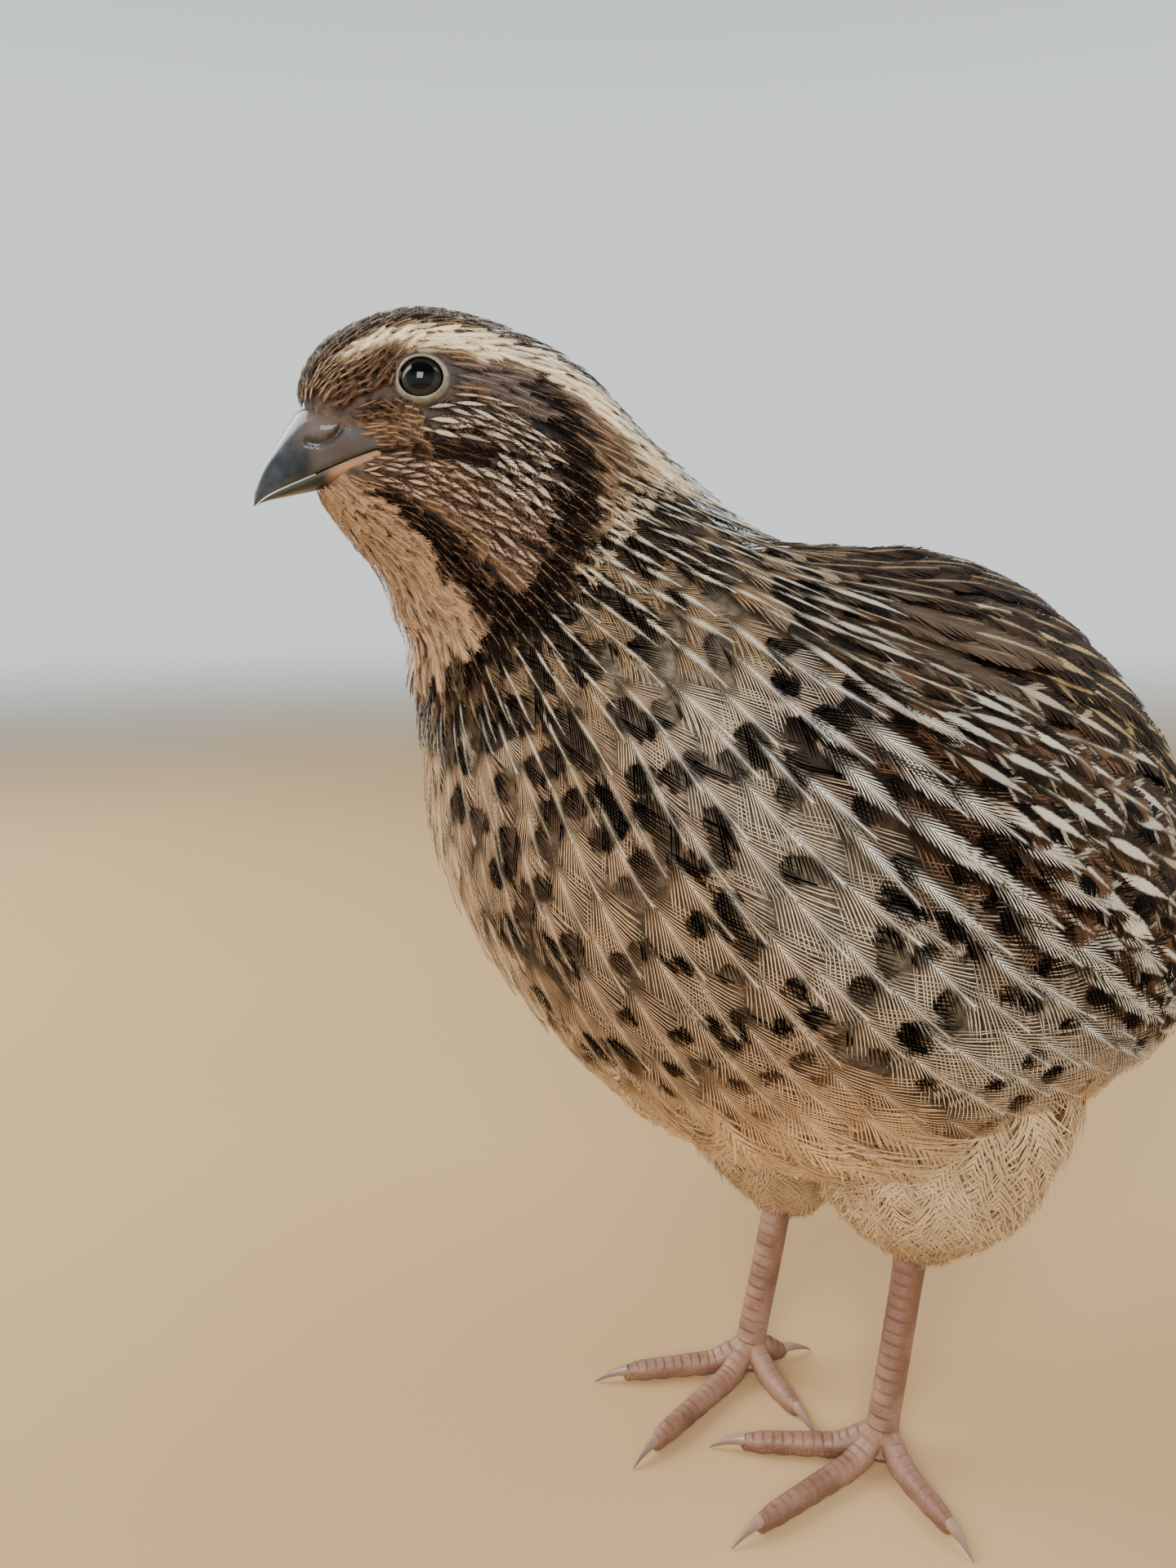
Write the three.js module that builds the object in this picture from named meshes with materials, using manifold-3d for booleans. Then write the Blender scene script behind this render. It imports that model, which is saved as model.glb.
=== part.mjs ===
// A life-size hen coturnix quail standing on its toes, in millimetres.
// +X is the way the body faces, +Y is its left, +Z is up, and the toes rest on z = 0.
import * as THREE from "three";
import { mergeVertices } from "three/addons/utils/BufferGeometryUtils.js";
import Module from "manifold-3d";

const wasm = await Module();
wasm.setup();
const { degToRad, lerp, clamp, smoothstep } = THREE.MathUtils;

// Driving sizes
const gap = 0.3; // between pieces that meet
const headAt = [58.5, -9.7, 140]; // centre of the head
const headTurn = -22; // degrees about Z, to the bird's right
const neckStart = 4.4; // places along the body, counted in sections
const torsoStart = 6;
const tailStart = 12.6;
const eyeRadius = 3.3;
const eyeAt = [2.4, 2.7]; // ahead of and above the head's centre
const eyeDepth = 2.75; // of the eyeball's centre, under the cheek
const lidRadius = 2.6;
const lidThickness = 0.42;
const mouthHeight = 0.3; // of the slot between the two halves of the bill
const tarsusTop = 30; // where the scaled leg leaves the feathers
const toeHeight = 1.35; // of the toes' middle line
const clawLength = 4.6;
const vaneThickness = 0.6;
const wingLift = 0.78; // of a wing's inner face over the torso's sections
const facetRoom = 0.08; // added to a gap to a form whose faces are flat
const tailLength = 36;
const unevenness = { plain: 0.01, head: 0.03, tail: 0.04, wing: 0.07 }; // left out of a surface

const looks = {
  headFeathers: { color: "#6f5a45", roughness: 0.9 },
  neckFeathers: { color: "#9b7c57", roughness: 0.9 },
  bodyFeathers: { color: "#c7a47a", roughness: 0.92 },
  wingFeathers: { color: "#5d4a39", roughness: 0.85 },
  tailFeathers: { color: "#4c3d30", roughness: 0.85 },
  thighFeathers: { color: "#c9b08f", roughness: 0.95 },
  bill: { color: "#4d4f55", roughness: 0.4 },
  eye: { color: "#15130f", roughness: 0.08 },
  scales: { color: "#c08a7c", roughness: 0.6 },
  claw: { color: "#8d7462", roughness: 0.45 },
};

// A section: its centre, its turn about Z, and how far its top, its bottom and its sides reach.
// Top and bottom are [ahead, above] of the centre.
function section(at, turn, top, bottom, side) {
  return [...at, turn, ...top, ...bottom, side];
}

function headPoint(ahead, above, left = 0) {
  const turn = degToRad(headTurn);
  const x = headAt[0] + ahead * Math.cos(turn) - left * Math.sin(turn);
  const y = headAt[1] + ahead * Math.sin(turn) + left * Math.cos(turn);
  return [x, y, headAt[2] + above];
}

// Sections from the root of the bill to the root of the tail
const bodySections = [
  section(headPoint(12.4, -4.2), -22, [0.2, 2.4], [-0.4, -2.8], 2.2),
  section(headPoint(10.6, -2.6), -22, [2.4, 5.6], [0.4, -6.6], 4.5),
  section(headPoint(7.2, -1.8), -22, [2.0, 9.6], [0.8, -11.6], 6.9),
  section(headPoint(0.3, -1.0), -22, [-0.8, 11.6], [4.2, -16.2], 10.0),
  section(headPoint(-7.5, -4.5), -20, [-6.9, 10.9], [10.5, -16.0], 12.2),
  section(headPoint(-13.8, -11.2), -14, [-11.0, 8.0], [15.4, -13.0], 16.0),
  section([38.5, -2.2, 120.5], -5, [-12.8, 8.6], [22.8, -15.4], 22.5),
  section([32, -1, 111], 0, [-17.9, 16.0], [26.0, -23.4], 30.0),
  section([21, 0, 101], 0, [-19.7, 25.4], [25.3, -31.6], 37.0),
  section([7, 0, 91], 0, [-20.0, 31.2], [23.6, -35.4], 40.5),
  section([-9, 0, 81], 0, [-18.7, 31.2], [20.8, -34.2], 41.0),
  section([-25, 0, 71.5], 0, [-15.9, 26.6], [17.5, -29.2], 37.0),
  section([-39, 0, 63], 0, [-11.6, 19.3], [12.9, -21.4], 28.5),
  section([-50, 0, 56.5], 0, [-6.6, 11.2], [7.6, -13.0], 17.5),
  section([-57, 0, 52.5], 0, [-1.5, 2.6], [1.5, -2.6], 4.0),
];

// The folded wings lie on the same form, drawn out behind so that they run straight to their tips.
const wingSections = [
  ...bodySections.slice(0, 11),
  section([-25, 0, 71.5], 0, [-15.9, 26.8], [17.5, -29.2], 37.4),
  section([-39, 0, 63], 0, [-12.4, 20.6], [12.9, -21.4], 30.5),
  section([-52, 0, 55.5], 0, [-8.8, 15.0], [8, -13.4], 23.0),
  section([-65, 0, 48], 0, [-6.4, 11.0], [5, -8], 15.5),
  section([-78, 0, 40.5], 0, [-4.8, 8.0], [3, -5], 9.0),
];

const billSections = [
  section(headPoint(6.6, -3.6), headTurn, [0, 2.6], [0, -2.6], 4.3),
  section(headPoint(10.0, -3.6), headTurn, [0.6, 3.4], [-0.2, -3.2], 4.1),
  section(headPoint(12.9, -4.2), headTurn, [1.0, 4.0], [0, -3.5], 3.2),
  section(headPoint(15.0, -5.8), headTurn, [0.4, 2.9], [0, -2.4], 2.2),
  section(headPoint(16.6, -7.2), headTurn, [0.5, 2.2], [0, -1.3], 1.3),
  section(headPoint(17.6, -8.3), headTurn, [0.25, 1.1], [0, -0.5], 0.6),
  section(headPoint(18.0, -9.0), headTurn, [0.05, 0.1], [0, -0.1], 0.1),
];

// A smooth run through rows of numbers, one row at each whole number
function blend(rows, t) {
  const last = rows.length - 1;
  const i = clamp(Math.floor(t), 0, last - 1);
  const u = t - i;
  const [a, b, c, d] = [i - 1, i, i + 1, i + 2].map((k) => rows[clamp(k, 0, last)]);
  return b.map((value, k) => {
    const slope = c[k] - a[k];
    const bend = 2 * a[k] - 5 * value + 4 * c[k] - d[k];
    const twist = 3 * value - a[k] - 3 * c[k] + d[k];
    return value + 0.5 * u * (slope + u * (bend + u * twist));
  });
}

// The point of a sectioned form at place t and an angle in degrees: 0 is its top, 90 its left side.
function pointOn(rows, t, angle) {
  const [x, y, z, turn, topAhead, topUp, bottomAhead, bottomUp, side] = blend(rows, t);
  const c = Math.cos(degToRad(angle));
  const s = Math.sin(degToRad(angle));
  const ahead = c > 0 ? topAhead * c : -bottomAhead * c;
  const above = c > 0 ? topUp * c : -bottomUp * c;
  const left = side * s;
  const heading = degToRad(turn);
  return new THREE.Vector3(
    x + ahead * Math.cos(heading) - left * Math.sin(heading),
    y + ahead * Math.sin(heading) + left * Math.cos(heading),
    z + above,
  );
}

function normalOn(rows, t, angle) {
  const step = 0.02;
  const before = pointOn(rows, Math.max(t - step, 0), angle);
  const alongBody = pointOn(rows, Math.min(t + step, rows.length - 1), angle).sub(before);
  const aroundBody = pointOn(rows, t, angle + 1).sub(pointOn(rows, t, angle - 1));
  const normal = aroundBody.cross(alongBody).normalize();
  const outward = pointOn(rows, t, angle).sub(new THREE.Vector3(...blend(rows, t)));
  return normal.dot(outward) < 0 ? normal.negate() : normal;
}

function liftedPoint(rows, t, angle, lift) {
  const point = pointOn(rows, t, angle);
  return lift ? point.addScaledVector(normalOn(rows, t, angle), lift) : point;
}

// Solids from three.js geometry, joined and cut
function solid(geometry) {
  geometry.deleteAttribute("normal");
  geometry.deleteAttribute("uv");
  const merged = mergeVertices(geometry, 1e-4);
  const points = merged.attributes.position.array;
  const corners = Uint32Array.from(merged.index.array);
  let volume = 0;
  const [a, b, c] = [0, 1, 2].map(() => new THREE.Vector3());
  for (let i = 0; i < corners.length; i += 3) {
    a.fromArray(points, 3 * corners[i]);
    b.fromArray(points, 3 * corners[i + 1]);
    c.fromArray(points, 3 * corners[i + 2]);
    volume += a.dot(b.cross(c));
  }
  if (volume < 0) corners.reverse();
  return new wasm.Manifold(
    new wasm.Mesh({ numProp: 3, vertProperties: Float32Array.from(points), triVerts: corners }),
  );
}

function joined(forms) {
  return wasm.Manifold.union(forms);
}

function largest(form) {
  return form.decompose().sort((a, b) => b.volume() - a.volume())[0];
}

// A closed form of rings, each ring's points given by place(ring, angle).
// The first and last rings are points.
function ringed(rings, around, place) {
  const geometry = new THREE.SphereGeometry(1, around, rings);
  const position = geometry.attributes.position;
  for (let i = 0; i < position.count; i++) {
    const ring = Math.floor(i / (around + 1));
    const column = (i % (around + 1)) % around;
    const { x, y, z } = place(ring, (360 * column) / around);
    position.setXYZ(i, x, y, z);
  }
  return solid(geometry);
}

// A sectioned form between the first and last of its stops, closed flat at both ends
function sectioned(rows, stops, around, lift = 0) {
  const centre = (t) => new THREE.Vector3(...blend(rows, t));
  return ringed(stops.length + 1, around, (ring, angle) => {
    if (ring === 0) return centre(stops[0]);
    if (ring > stops.length) return centre(stops[stops.length - 1]);
    return liftedPoint(rows, stops[ring - 1], angle, lift);
  });
}

function stopsBetween(from, to, count) {
  return Array.from({ length: count }, (_, i) => lerp(from, to, i / (count - 1)));
}

// Keeps the part of a form behind a plane through `point`, moved back by `back`.
function keptBehind(form, point, normal, back = 0) {
  const n = normal.clone().normalize();
  return form.trimByPlane(n.clone().negate().toArray(), back - n.dot(point));
}

function placedSolid(geometry, position, rotation = new THREE.Quaternion()) {
  const matrix = new THREE.Matrix4().compose(position, rotation, new THREE.Vector3(1, 1, 1));
  return solid(geometry.applyMatrix4(matrix));
}

function turned(from, to) {
  const [start, end] = [from, to].map((direction) => direction.clone().normalize());
  return new THREE.Quaternion().setFromUnitVectors(start, end);
}

// A feather's vane: a thin leaf whose points are given by place(along 0 to 1, across, above)
function vane(place, halfWidth, rings = 5, thickness = vaneThickness) {
  const corners = [
    [1, 1],
    [1, -1],
    [-1, -1],
    [-1, 1],
  ];
  return ringed(rings, 4, (ring, angle) => {
    const turn = (Math.PI * ring) / rings;
    const along = (1 - Math.cos(turn)) / 2;
    const [left, up] = corners[Math.round(angle / 90)];
    const spread = ring === 0 || ring === rings ? 0 : Math.pow(Math.sin(turn), 0.45);
    const thick = ring === 0 || ring === rings ? 0 : thickness / 2;
    return place(along, left * spread * halfWidth, up * thick);
  });
}

const group = new THREE.Group();
group.name = "coturnix_quail";

function addNode(name, form, look, smallest = unevenness.plain) {
  const closed = largest(largest(form).simplify(smallest));
  const { numProp, vertProperties, triVerts } = closed.getMesh();
  const count = vertProperties.length / numProp;
  const points = new Float32Array(3 * count);
  for (let i = 0; i < count; i++) {
    points.set(vertProperties.subarray(i * numProp, i * numProp + 3), 3 * i);
  }
  const geometry = new THREE.BufferGeometry();
  geometry.setAttribute("position", new THREE.BufferAttribute(points, 3));
  geometry.setIndex(Array.from(triVerts));
  geometry.computeVertexNormals();
  const material = new THREE.MeshStandardMaterial({ ...looks[look], metalness: 0 });
  material.name = look;
  const mesh = new THREE.Mesh(geometry, material);
  mesh.name = name;
  group.add(mesh);
}

// The body's one form, parted by planes into head, neck, torso and tail
const bodyAround = 28;
const bodyStops = [...stopsBetween(0, neckStart, 16), ...stopsBetween(neckStart + 0.4, 14, 24)];
const body = sectioned(bodySections, bodyStops, bodyAround);

function parting(t) {
  const top = pointOn(bodySections, t, 0);
  const bottom = pointOn(bodySections, t, 180);
  const heading = degToRad(blend(bodySections, t)[3]);
  const left = new THREE.Vector3(-Math.sin(heading), Math.cos(heading), 0);
  const ahead = left.cross(top.clone().sub(bottom)).normalize();
  return { point: top.add(bottom).multiplyScalar(0.5), ahead };
}

function bodyBetween(front, back) {
  let form = body;
  if (front !== null) {
    const { point, ahead } = parting(front);
    form = keptBehind(form, point, ahead, gap / 2);
  }
  if (back !== null) {
    const { point, ahead } = parting(back);
    form = keptBehind(form, point, ahead.clone().negate(), gap / 2);
  }
  return largest(form);
}

const torso = bodyBetween(torsoStart, tailStart);
const torsoStops = stopsBetween(5.4, 14, 30);
const clearOfTorso = sectioned(bodySections, torsoStops, bodyAround, gap + facetRoom);

// The spot of the left cheek that is this far ahead of and above the head's centre
function cheekSpot(ahead, above) {
  let best = { miss: Infinity };
  const target = new THREE.Vector3(...headPoint(ahead, above));
  const left = new THREE.Vector3(...headPoint(0, 0, 1)).sub(new THREE.Vector3(...headAt));
  for (let t = 0; t < 5; t += 0.02) {
    for (let angle = 20; angle < 160; angle += 1) {
      const from = pointOn(bodySections, t, angle).sub(target);
      const miss = from.addScaledVector(left, -from.dot(left)).length();
      if (miss < best.miss) best = { miss, t, angle };
    }
  }
  return best;
}

const eyeSpot = cheekSpot(...eyeAt);
const eyes = [1, -1].map((side) => {
  const surface = pointOn(bodySections, eyeSpot.t, side * eyeSpot.angle);
  const outward = normalOn(bodySections, eyeSpot.t, side * eyeSpot.angle);
  const centre = surface.clone().addScaledVector(outward, -eyeDepth);
  return { side, surface, outward, centre };
});

// The bill: both halves as one form with a swollen flap over each nostril, parted along the mouth
const billStops = [0, 1, 1.6, 2, 2.5, 3, 3.5, 4, 4.5, 5, 5.5, 6];
const mouthLine = new THREE.CatmullRomCurve3(
  [
    [3.0, -3.4],
    [6.7, -3.7],
    [10.0, -4.5],
    [13.0, -5.8],
    [15.4, -7.2],
    [17.4, -8.75],
    [19.5, -10.6],
  ].map(([ahead, above]) => new THREE.Vector3(...headPoint(ahead, above))),
);

function mouthSlot(halfWidth, height) {
  const geometry = new THREE.BoxGeometry(1, 1, 1, 8, 1, 1);
  const position = geometry.attributes.position;
  const left = new THREE.Vector3(...headPoint(0, 0, 1)).sub(new THREE.Vector3(...headAt));
  for (let i = 0; i < position.count; i++) {
    const point = mouthLine.getPoint(position.getX(i) + 0.5);
    point.addScaledVector(left, 2 * halfWidth * position.getY(i));
    point.z += height * position.getZ(i);
    position.setXYZ(i, point.x, point.y, point.z);
  }
  return solid(geometry);
}

const upward = new THREE.Vector3(0, 0, 1);
const headAxes = new THREE.Quaternion().setFromAxisAngle(upward, degToRad(headTurn));

function headEllipsoid(ahead, above, left, radii, tilt) {
  const geometry = new THREE.SphereGeometry(1, 10, 7).scale(...radii).rotateY(degToRad(tilt));
  return placedSolid(geometry, new THREE.Vector3(...headPoint(ahead, above, left)), headAxes);
}

const flap = { at: [11.6, -1.6], left: 2.5, radii: [2.3, 1.5, 1.5], tilt: 20 };
const nostril = { at: [10.9, -2.5], left: 4.2, radii: [1.5, 0.9, 0.28], tilt: 38 };

// The same small form on both sides of the head, swollen by `more`
function pairOf({ at, left, radii, tilt }, more = 0) {
  const swollen = radii.map((radius) => radius + more);
  return [1, -1].map((side) => headEllipsoid(...at, side * left, swollen, tilt));
}

const wholeBill = joined([sectioned(billSections, billStops, 14), ...pairOf(flap)]);
const billHalves = wholeBill
  .subtract(joined([mouthSlot(9, mouthHeight), ...pairOf(nostril)]))
  .decompose()
  .sort((a, b) => b.volume() - a.volume())
  .slice(0, 2)
  .sort((a, b) => b.boundingBox().max[2] - a.boundingBox().max[2]);
const backward = new THREE.Vector3(-1.2 * gap, 0, 0).applyQuaternion(headAxes);
const roomForBill = sectioned(billSections, [0, 1, 2, 3, 4], 14, gap);
const clearOfBill = joined([
  roomForBill,
  roomForBill.translate(backward.toArray()),
  ...pairOf(flap, gap),
]);

// The head: lids round the eyes, a hollow for each eyeball and for the bill,
// and the gape drawn into the cheeks
const lids = eyes.map(({ surface, outward }) =>
  placedSolid(
    new THREE.TorusGeometry(lidRadius, lidThickness, 5, 16),
    surface.clone().addScaledVector(outward, 0.12),
    turned(upward, outward),
  ),
);
const sockets = eyes.map(({ centre }) => {
  return placedSolid(new THREE.SphereGeometry(eyeRadius + gap, 12, 9), centre);
});
const gape = mouthSlot(12, 0.5).subtract(headEllipsoid(2.5, -3.5, 0, [9, 6.4, 5], 0));
const headForm = joined([bodyBetween(null, neckStart), ...lids]);
const hollowed = headForm.subtract(joined([...sockets, clearOfBill, gape]));
addNode("head", hollowed, "headFeathers", unevenness.head);
addNode("bill_upper", billHalves[0], "bill");
addNode("bill_lower", billHalves[1], "bill");
for (const { side, centre } of eyes) {
  const eyeball = placedSolid(new THREE.SphereGeometry(eyeRadius, 14, 11), centre);
  addNode(side > 0 ? "eye_left" : "eye_right", eyeball, "eye");
}
addNode("neck", bodyBetween(neckStart, torsoStart), "neckFeathers");
addNode("torso", torso, "bodyFeathers");

// A wing: a shallow plate over the side of the torso, with its tiers of vanes from the tips forward
function wingPlate(side) {
  const geometry = new THREE.BoxGeometry(1, 1, 1, 14, 6, 1);
  const position = geometry.attributes.position;
  const edges = [
    [7.3, 46, 80],
    [8, 34, 92],
    [9, 29, 98],
    [10, 29, 98],
    [11, 31, 95],
    [12, 36, 88],
    [12.9, 44, 78],
  ];
  for (let i = 0; i < position.count; i++) {
    const along = position.getX(i) + 0.5;
    const across = position.getY(i) + 0.5;
    const [t, upper, lower] = blend(edges, along * (edges.length - 1));
    const swell = Math.sqrt(Math.sin(Math.PI * clamp(across, 0.02, 0.98)));
    const front = smoothstep(along, -0.05, 0.2);
    const outer = 1.3 + 0.3 * swell * front;
    const lift = position.getZ(i) > 0 ? outer : wingLift;
    const point = liftedPoint(wingSections, t, side * lerp(upper, lower, across), lift);
    position.setXYZ(i, point.x, point.y, point.z);
  }
  return solid(geometry);
}

// Tiers: how many vanes, their roots and tips as [place, angle] at the wing's lower and upper edges,
// their half width, and their lift off the torso at root and tip.
const wingTiers = [
  { count: 4, roots: [10.6, 90, 10.6, 72], tips: [13.2, 76, 14.3, 52], half: 5.2, lift: [1.1, 2.1] },
  { count: 5, roots: [9.6, 92, 9.6, 52], tips: [12.3, 86, 12.6, 44], half: 6.6, lift: [1.2, 2.8] },
  { count: 2, roots: [9.2, 46, 9.0, 36], tips: [12.5, 46, 12.8, 33], half: 7.0, lift: [1.3, 3.5] },
  { count: 5, roots: [8.1, 90, 8.1, 42], tips: [10.5, 92, 10.6, 40], half: 7.6, lift: [1.3, 4.0] },
];

function wingVane(side, root, tip, half, lift) {
  const tilt = 0.4;
  const middle = pointOn(wingSections, (root[0] + tip[0]) / 2, (root[1] + tip[1]) / 2);
  const aside = pointOn(wingSections, (root[0] + tip[0]) / 2, (root[1] + tip[1]) / 2 + 1);
  const perDegree = middle.distanceTo(aside);
  return vane((along, across, above) => {
    const t = lerp(root[0], tip[0], along);
    const angle = lerp(root[1], tip[1], along) + across / perDegree;
    const rise = Math.min(1, 2.5 * along);
    const height = lerp(lift[0], lift[1], rise) + above + (tilt * rise * across) / half;
    return liftedPoint(wingSections, t, side * angle, height);
  }, half);
}

for (const side of [1, -1]) {
  const parts = [wingPlate(side)];
  for (const { count, roots, tips, half, lift } of wingTiers) {
    for (let i = 0; i < count; i++) {
      const share = i / (count - 1);
      const root = [lerp(roots[0], roots[2], share), lerp(roots[1], roots[3], share)];
      const tip = [lerp(tips[0], tips[2], share), lerp(tips[1], tips[3], share)];
      parts.push(wingVane(side, root, tip, half, lift));
    }
  }
  const wing = joined(parts).subtract(clearOfTorso);
  addNode(side > 0 ? "wing_left" : "wing_right", wing, "wingFeathers", unevenness.wing);
}

// The tail: its root, and quills fanned like a shallow roof between coverts above and below
function tailVane(index, spread, root, slope, length, half) {
  const fan = degToRad(index * spread);
  const dip = Math.abs(index) * 0.8;
  const origin = new THREE.Vector3(root[0], index * 1.2, root[1] - dip);
  const pitch = degToRad(slope);
  const along = new THREE.Vector3(-Math.cos(pitch) * Math.cos(fan), Math.sin(fan), -Math.sin(pitch));
  along.normalize();
  const roof = degToRad(5 * Math.sign(index));
  const left = new THREE.Vector3(0, Math.cos(roof), -Math.sin(roof));
  left.addScaledVector(along, -left.dot(along)).normalize();
  const up = left.clone().cross(along).normalize();
  if (up.z < 0) up.negate();
  return vane((share, across, above) => {
    const point = origin.clone().addScaledVector(along, share * length);
    return point.addScaledVector(left, across).addScaledVector(up, above - 1.2 * share * share);
  }, half);
}

const tailParts = [bodyBetween(tailStart, null)];
for (let i = 0; i < 8; i++) {
  const index = i - 3.5;
  const length = tailLength - 0.5 * Math.abs(index);
  tailParts.push(tailVane(index, 4.2, [-46, 57.5 + 0.12 * i], 34, length, 4.6));
}
for (let i = 0; i < 4; i++) {
  tailParts.push(tailVane((i - 1.5) * 2, 4, [-45, 61.5 + 0.1 * i], 34, 25, 5.6));
}
for (let i = 0; i < 4; i++) {
  tailParts.push(tailVane((i - 1.5) * 1.8, 4, [-43, 52.5 + 0.1 * i], 30, 26, 5.4));
}
const tailPlane = parting(tailStart);
const tail = keptBehind(joined(tailParts), tailPlane.point, tailPlane.ahead, gap / 2);
addNode("tail", tail, "tailFeathers", unevenness.tail);

// Thighs, feathered down to the scaled part of the leg
for (const side of [1, -1]) {
  const sections = [
    section([-4, side * 17, 61], 0, [-20, 0], [18, 0], 17),
    section([-4, side * 16, 50], 0, [-19, 0], [18, 0], 15.6),
    section([-5, side * 14, 40], 0, [-16.5, 0], [15, 0], 13.5),
    section([-6.4, side * 12.6, 34], 0, [-11, 0], [10, 0], 9.4),
    section([-6.8, side * 12.4, tarsusTop], 0, [-4, 0], [4, 0], 3.8),
  ];
  const thigh = sectioned(sections, stopsBetween(0, 4, 9), 16).subtract(clearOfTorso);
  addNode(side > 0 ? "thigh_left" : "thigh_right", thigh, "thighFeathers");
}

// The feet: for each, the point where its toes meet, its ankle, and each toe's heading in degrees
// and its length with its claw
const feet = {
  left: {
    meet: [2.6, 14.2],
    ankle: [-5.2, 12.6],
    toes: { inner: [-43, 24.5], middle: [-5, 28.5], outer: [72, 20], hind: [-140, 10.5] },
  },
  right: {
    meet: [3.0, -10.4],
    ankle: [-5.0, -11.2],
    toes: { outer: [-31, 25], middle: [8, 29], inner: [76, 17.5], hind: [160, 11] },
  },
};
const meetHeight = 3.6;
const stubLength = 4.9; // of each front toe's root, which belongs to the foot's pad
const hindStubLength = 2.4;

// A toe from its root, ringed with scutes above and swollen into pads below
function toeForm(meet, heading, length) {
  const along = new THREE.Vector3(Math.cos(degToRad(heading)), Math.sin(degToRad(heading)), 0);
  const across = new THREE.Vector3(-along.y, along.x, 0);
  const rings = 2 * Math.round(length / 2.4) + 1;
  return ringed(rings, 8, (ring, angle) => {
    const last = rings - 1;
    const distance = clamp(((ring - 1) / (last - 1)) * length, 0, length);
    const end = ring === 0 || ring === rings ? 0 : 1;
    const height = lerp(meetHeight, toeHeight, smoothstep(distance, 0, Math.min(length, 7)));
    const taper = lerp(1.5, 1.12, distance / length) * (ring === last ? 0.8 : 1);
    const scute = ring % 2 ? 1.05 : 0.95;
    const pad = 1 + 0.14 * Math.pow(Math.sin((Math.PI * distance) / 6.2), 2);
    const c = Math.cos(degToRad(angle));
    const s = Math.sin(degToRad(angle));
    const reach = taper * (c > 0.1 ? scute : pad) * end;
    const point = new THREE.Vector3(meet[0], meet[1], height + c * reach);
    return point.addScaledVector(along, distance).addScaledVector(across, s * taper * end);
  });
}

// A claw: a curved cone from the toe's end down to the floor
function clawForm(meet, heading, start) {
  const along = new THREE.Vector3(Math.cos(degToRad(heading)), Math.sin(degToRad(heading)), 0);
  const across = new THREE.Vector3(-along.y, along.x, 0);
  const rings = 7;
  return ringed(rings, 8, (ring, angle) => {
    const share = clamp((ring - 1) / (rings - 2), 0, 1);
    const end = ring === 0 ? 0 : 1;
    const radius = end * (ring === rings ? 0 : lerp(0.78, 0.2, Math.pow(share, 1.2)));
    const drop = 1.45 * share * share;
    const c = Math.cos(degToRad(angle)) * radius;
    const s = Math.sin(degToRad(angle)) * radius * 0.85;
    const tipExtra = ring === rings ? 0.25 : 0;
    const point = new THREE.Vector3(meet[0], meet[1], toeHeight + 0.25 - drop + c);
    const distance = start + share * clawLength + tipExtra;
    return point.addScaledVector(along, distance).addScaledVector(across, s);
  });
}

// The scaled leg, with plates down its front
function tarsusForm(meet, ankle) {
  const path = new THREE.CatmullRomCurve3([
    new THREE.Vector3(meet[0] + 0.4, meet[1], 1.6),
    new THREE.Vector3(meet[0] - 0.4, meet[1] - 0.04 * (meet[1] - ankle[1]), 6),
    new THREE.Vector3(lerp(meet[0], ankle[0], 0.5), lerp(meet[1], ankle[1], 0.5), 18),
    new THREE.Vector3(ankle[0], ankle[1], 32),
  ]);
  const rings = 21;
  return ringed(rings, 8, (ring, angle) => {
    const share = clamp((ring - 1) / (rings - 2), 0, 1);
    const point = path.getPoint(share);
    const end = ring === 0 || ring === rings ? 0 : 1;
    const foot = 1 + 0.35 * (1 - smoothstep(share, 0, 0.22)) + 0.12 * smoothstep(share, 0.75, 1);
    const c = Math.cos(degToRad(angle));
    const s = Math.sin(degToRad(angle));
    const plate = c > 0.2 ? (ring % 2 ? 1.05 : 0.96) : 1;
    point.x += c * 2.05 * foot * plate * end;
    point.y += s * 1.65 * foot * end;
    return point;
  });
}

const floor = new THREE.Vector3(0, 0, 0);
const down = new THREE.Vector3(0, 0, -1);
for (const [foot, { meet, ankle, toes }] of Object.entries(feet)) {
  const meetPoint = new THREE.Vector3(...meet, 0);
  const sole = new THREE.SphereGeometry(1, 9, 6).scale(2.7, 2.5, 1.95);
  const soleAt = new THREE.Vector3(meet[0], meet[1], 1.65);
  const pads = [tarsusForm(meet, ankle), placedSolid(sole, soleAt)];
  for (const [toe, [heading, reach]] of Object.entries(toes)) {
    const along = new THREE.Vector3(Math.cos(degToRad(heading)), Math.sin(degToRad(heading)), 0);
    const length = reach - clawLength - gap;
    const stub = toe === "hind" ? hindStubLength : stubLength;
    const stubEnd = meetPoint.clone().addScaledVector(along, stub);
    const form = toeForm(meet, heading, length);
    pads.push(keptBehind(form, stubEnd, along));
    const clear = keptBehind(form, stubEnd, along.clone().negate(), gap);
    const clawStart = meetPoint.clone().addScaledVector(along, length);
    const blunt = keptBehind(clear, clawStart, along, 0.4);
    addNode(`toe_${foot}_${toe}`, keptBehind(blunt, floor, down), "scales");
    const claw = keptBehind(clawForm(meet, heading, length - 0.4 + gap), floor, down);
    addNode(`claw_${foot}_${toe}`, claw, "claw");
  }
  const legTop = new THREE.Vector3(0, 0, tarsusTop - gap);
  const leg = keptBehind(joined(pads), legTop, upward);
  addNode(`leg_${foot}`, keptBehind(leg, floor, down), "scales");
}

// The origin is under the middle of the whole bird.
const bounds = new THREE.Box3().setFromObject(group);
const middle = bounds.getCenter(new THREE.Vector3());
for (const mesh of group.children) {
  mesh.geometry.translate(-middle.x, -middle.y, -bounds.min.z);
}

export default group;
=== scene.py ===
import math

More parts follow.
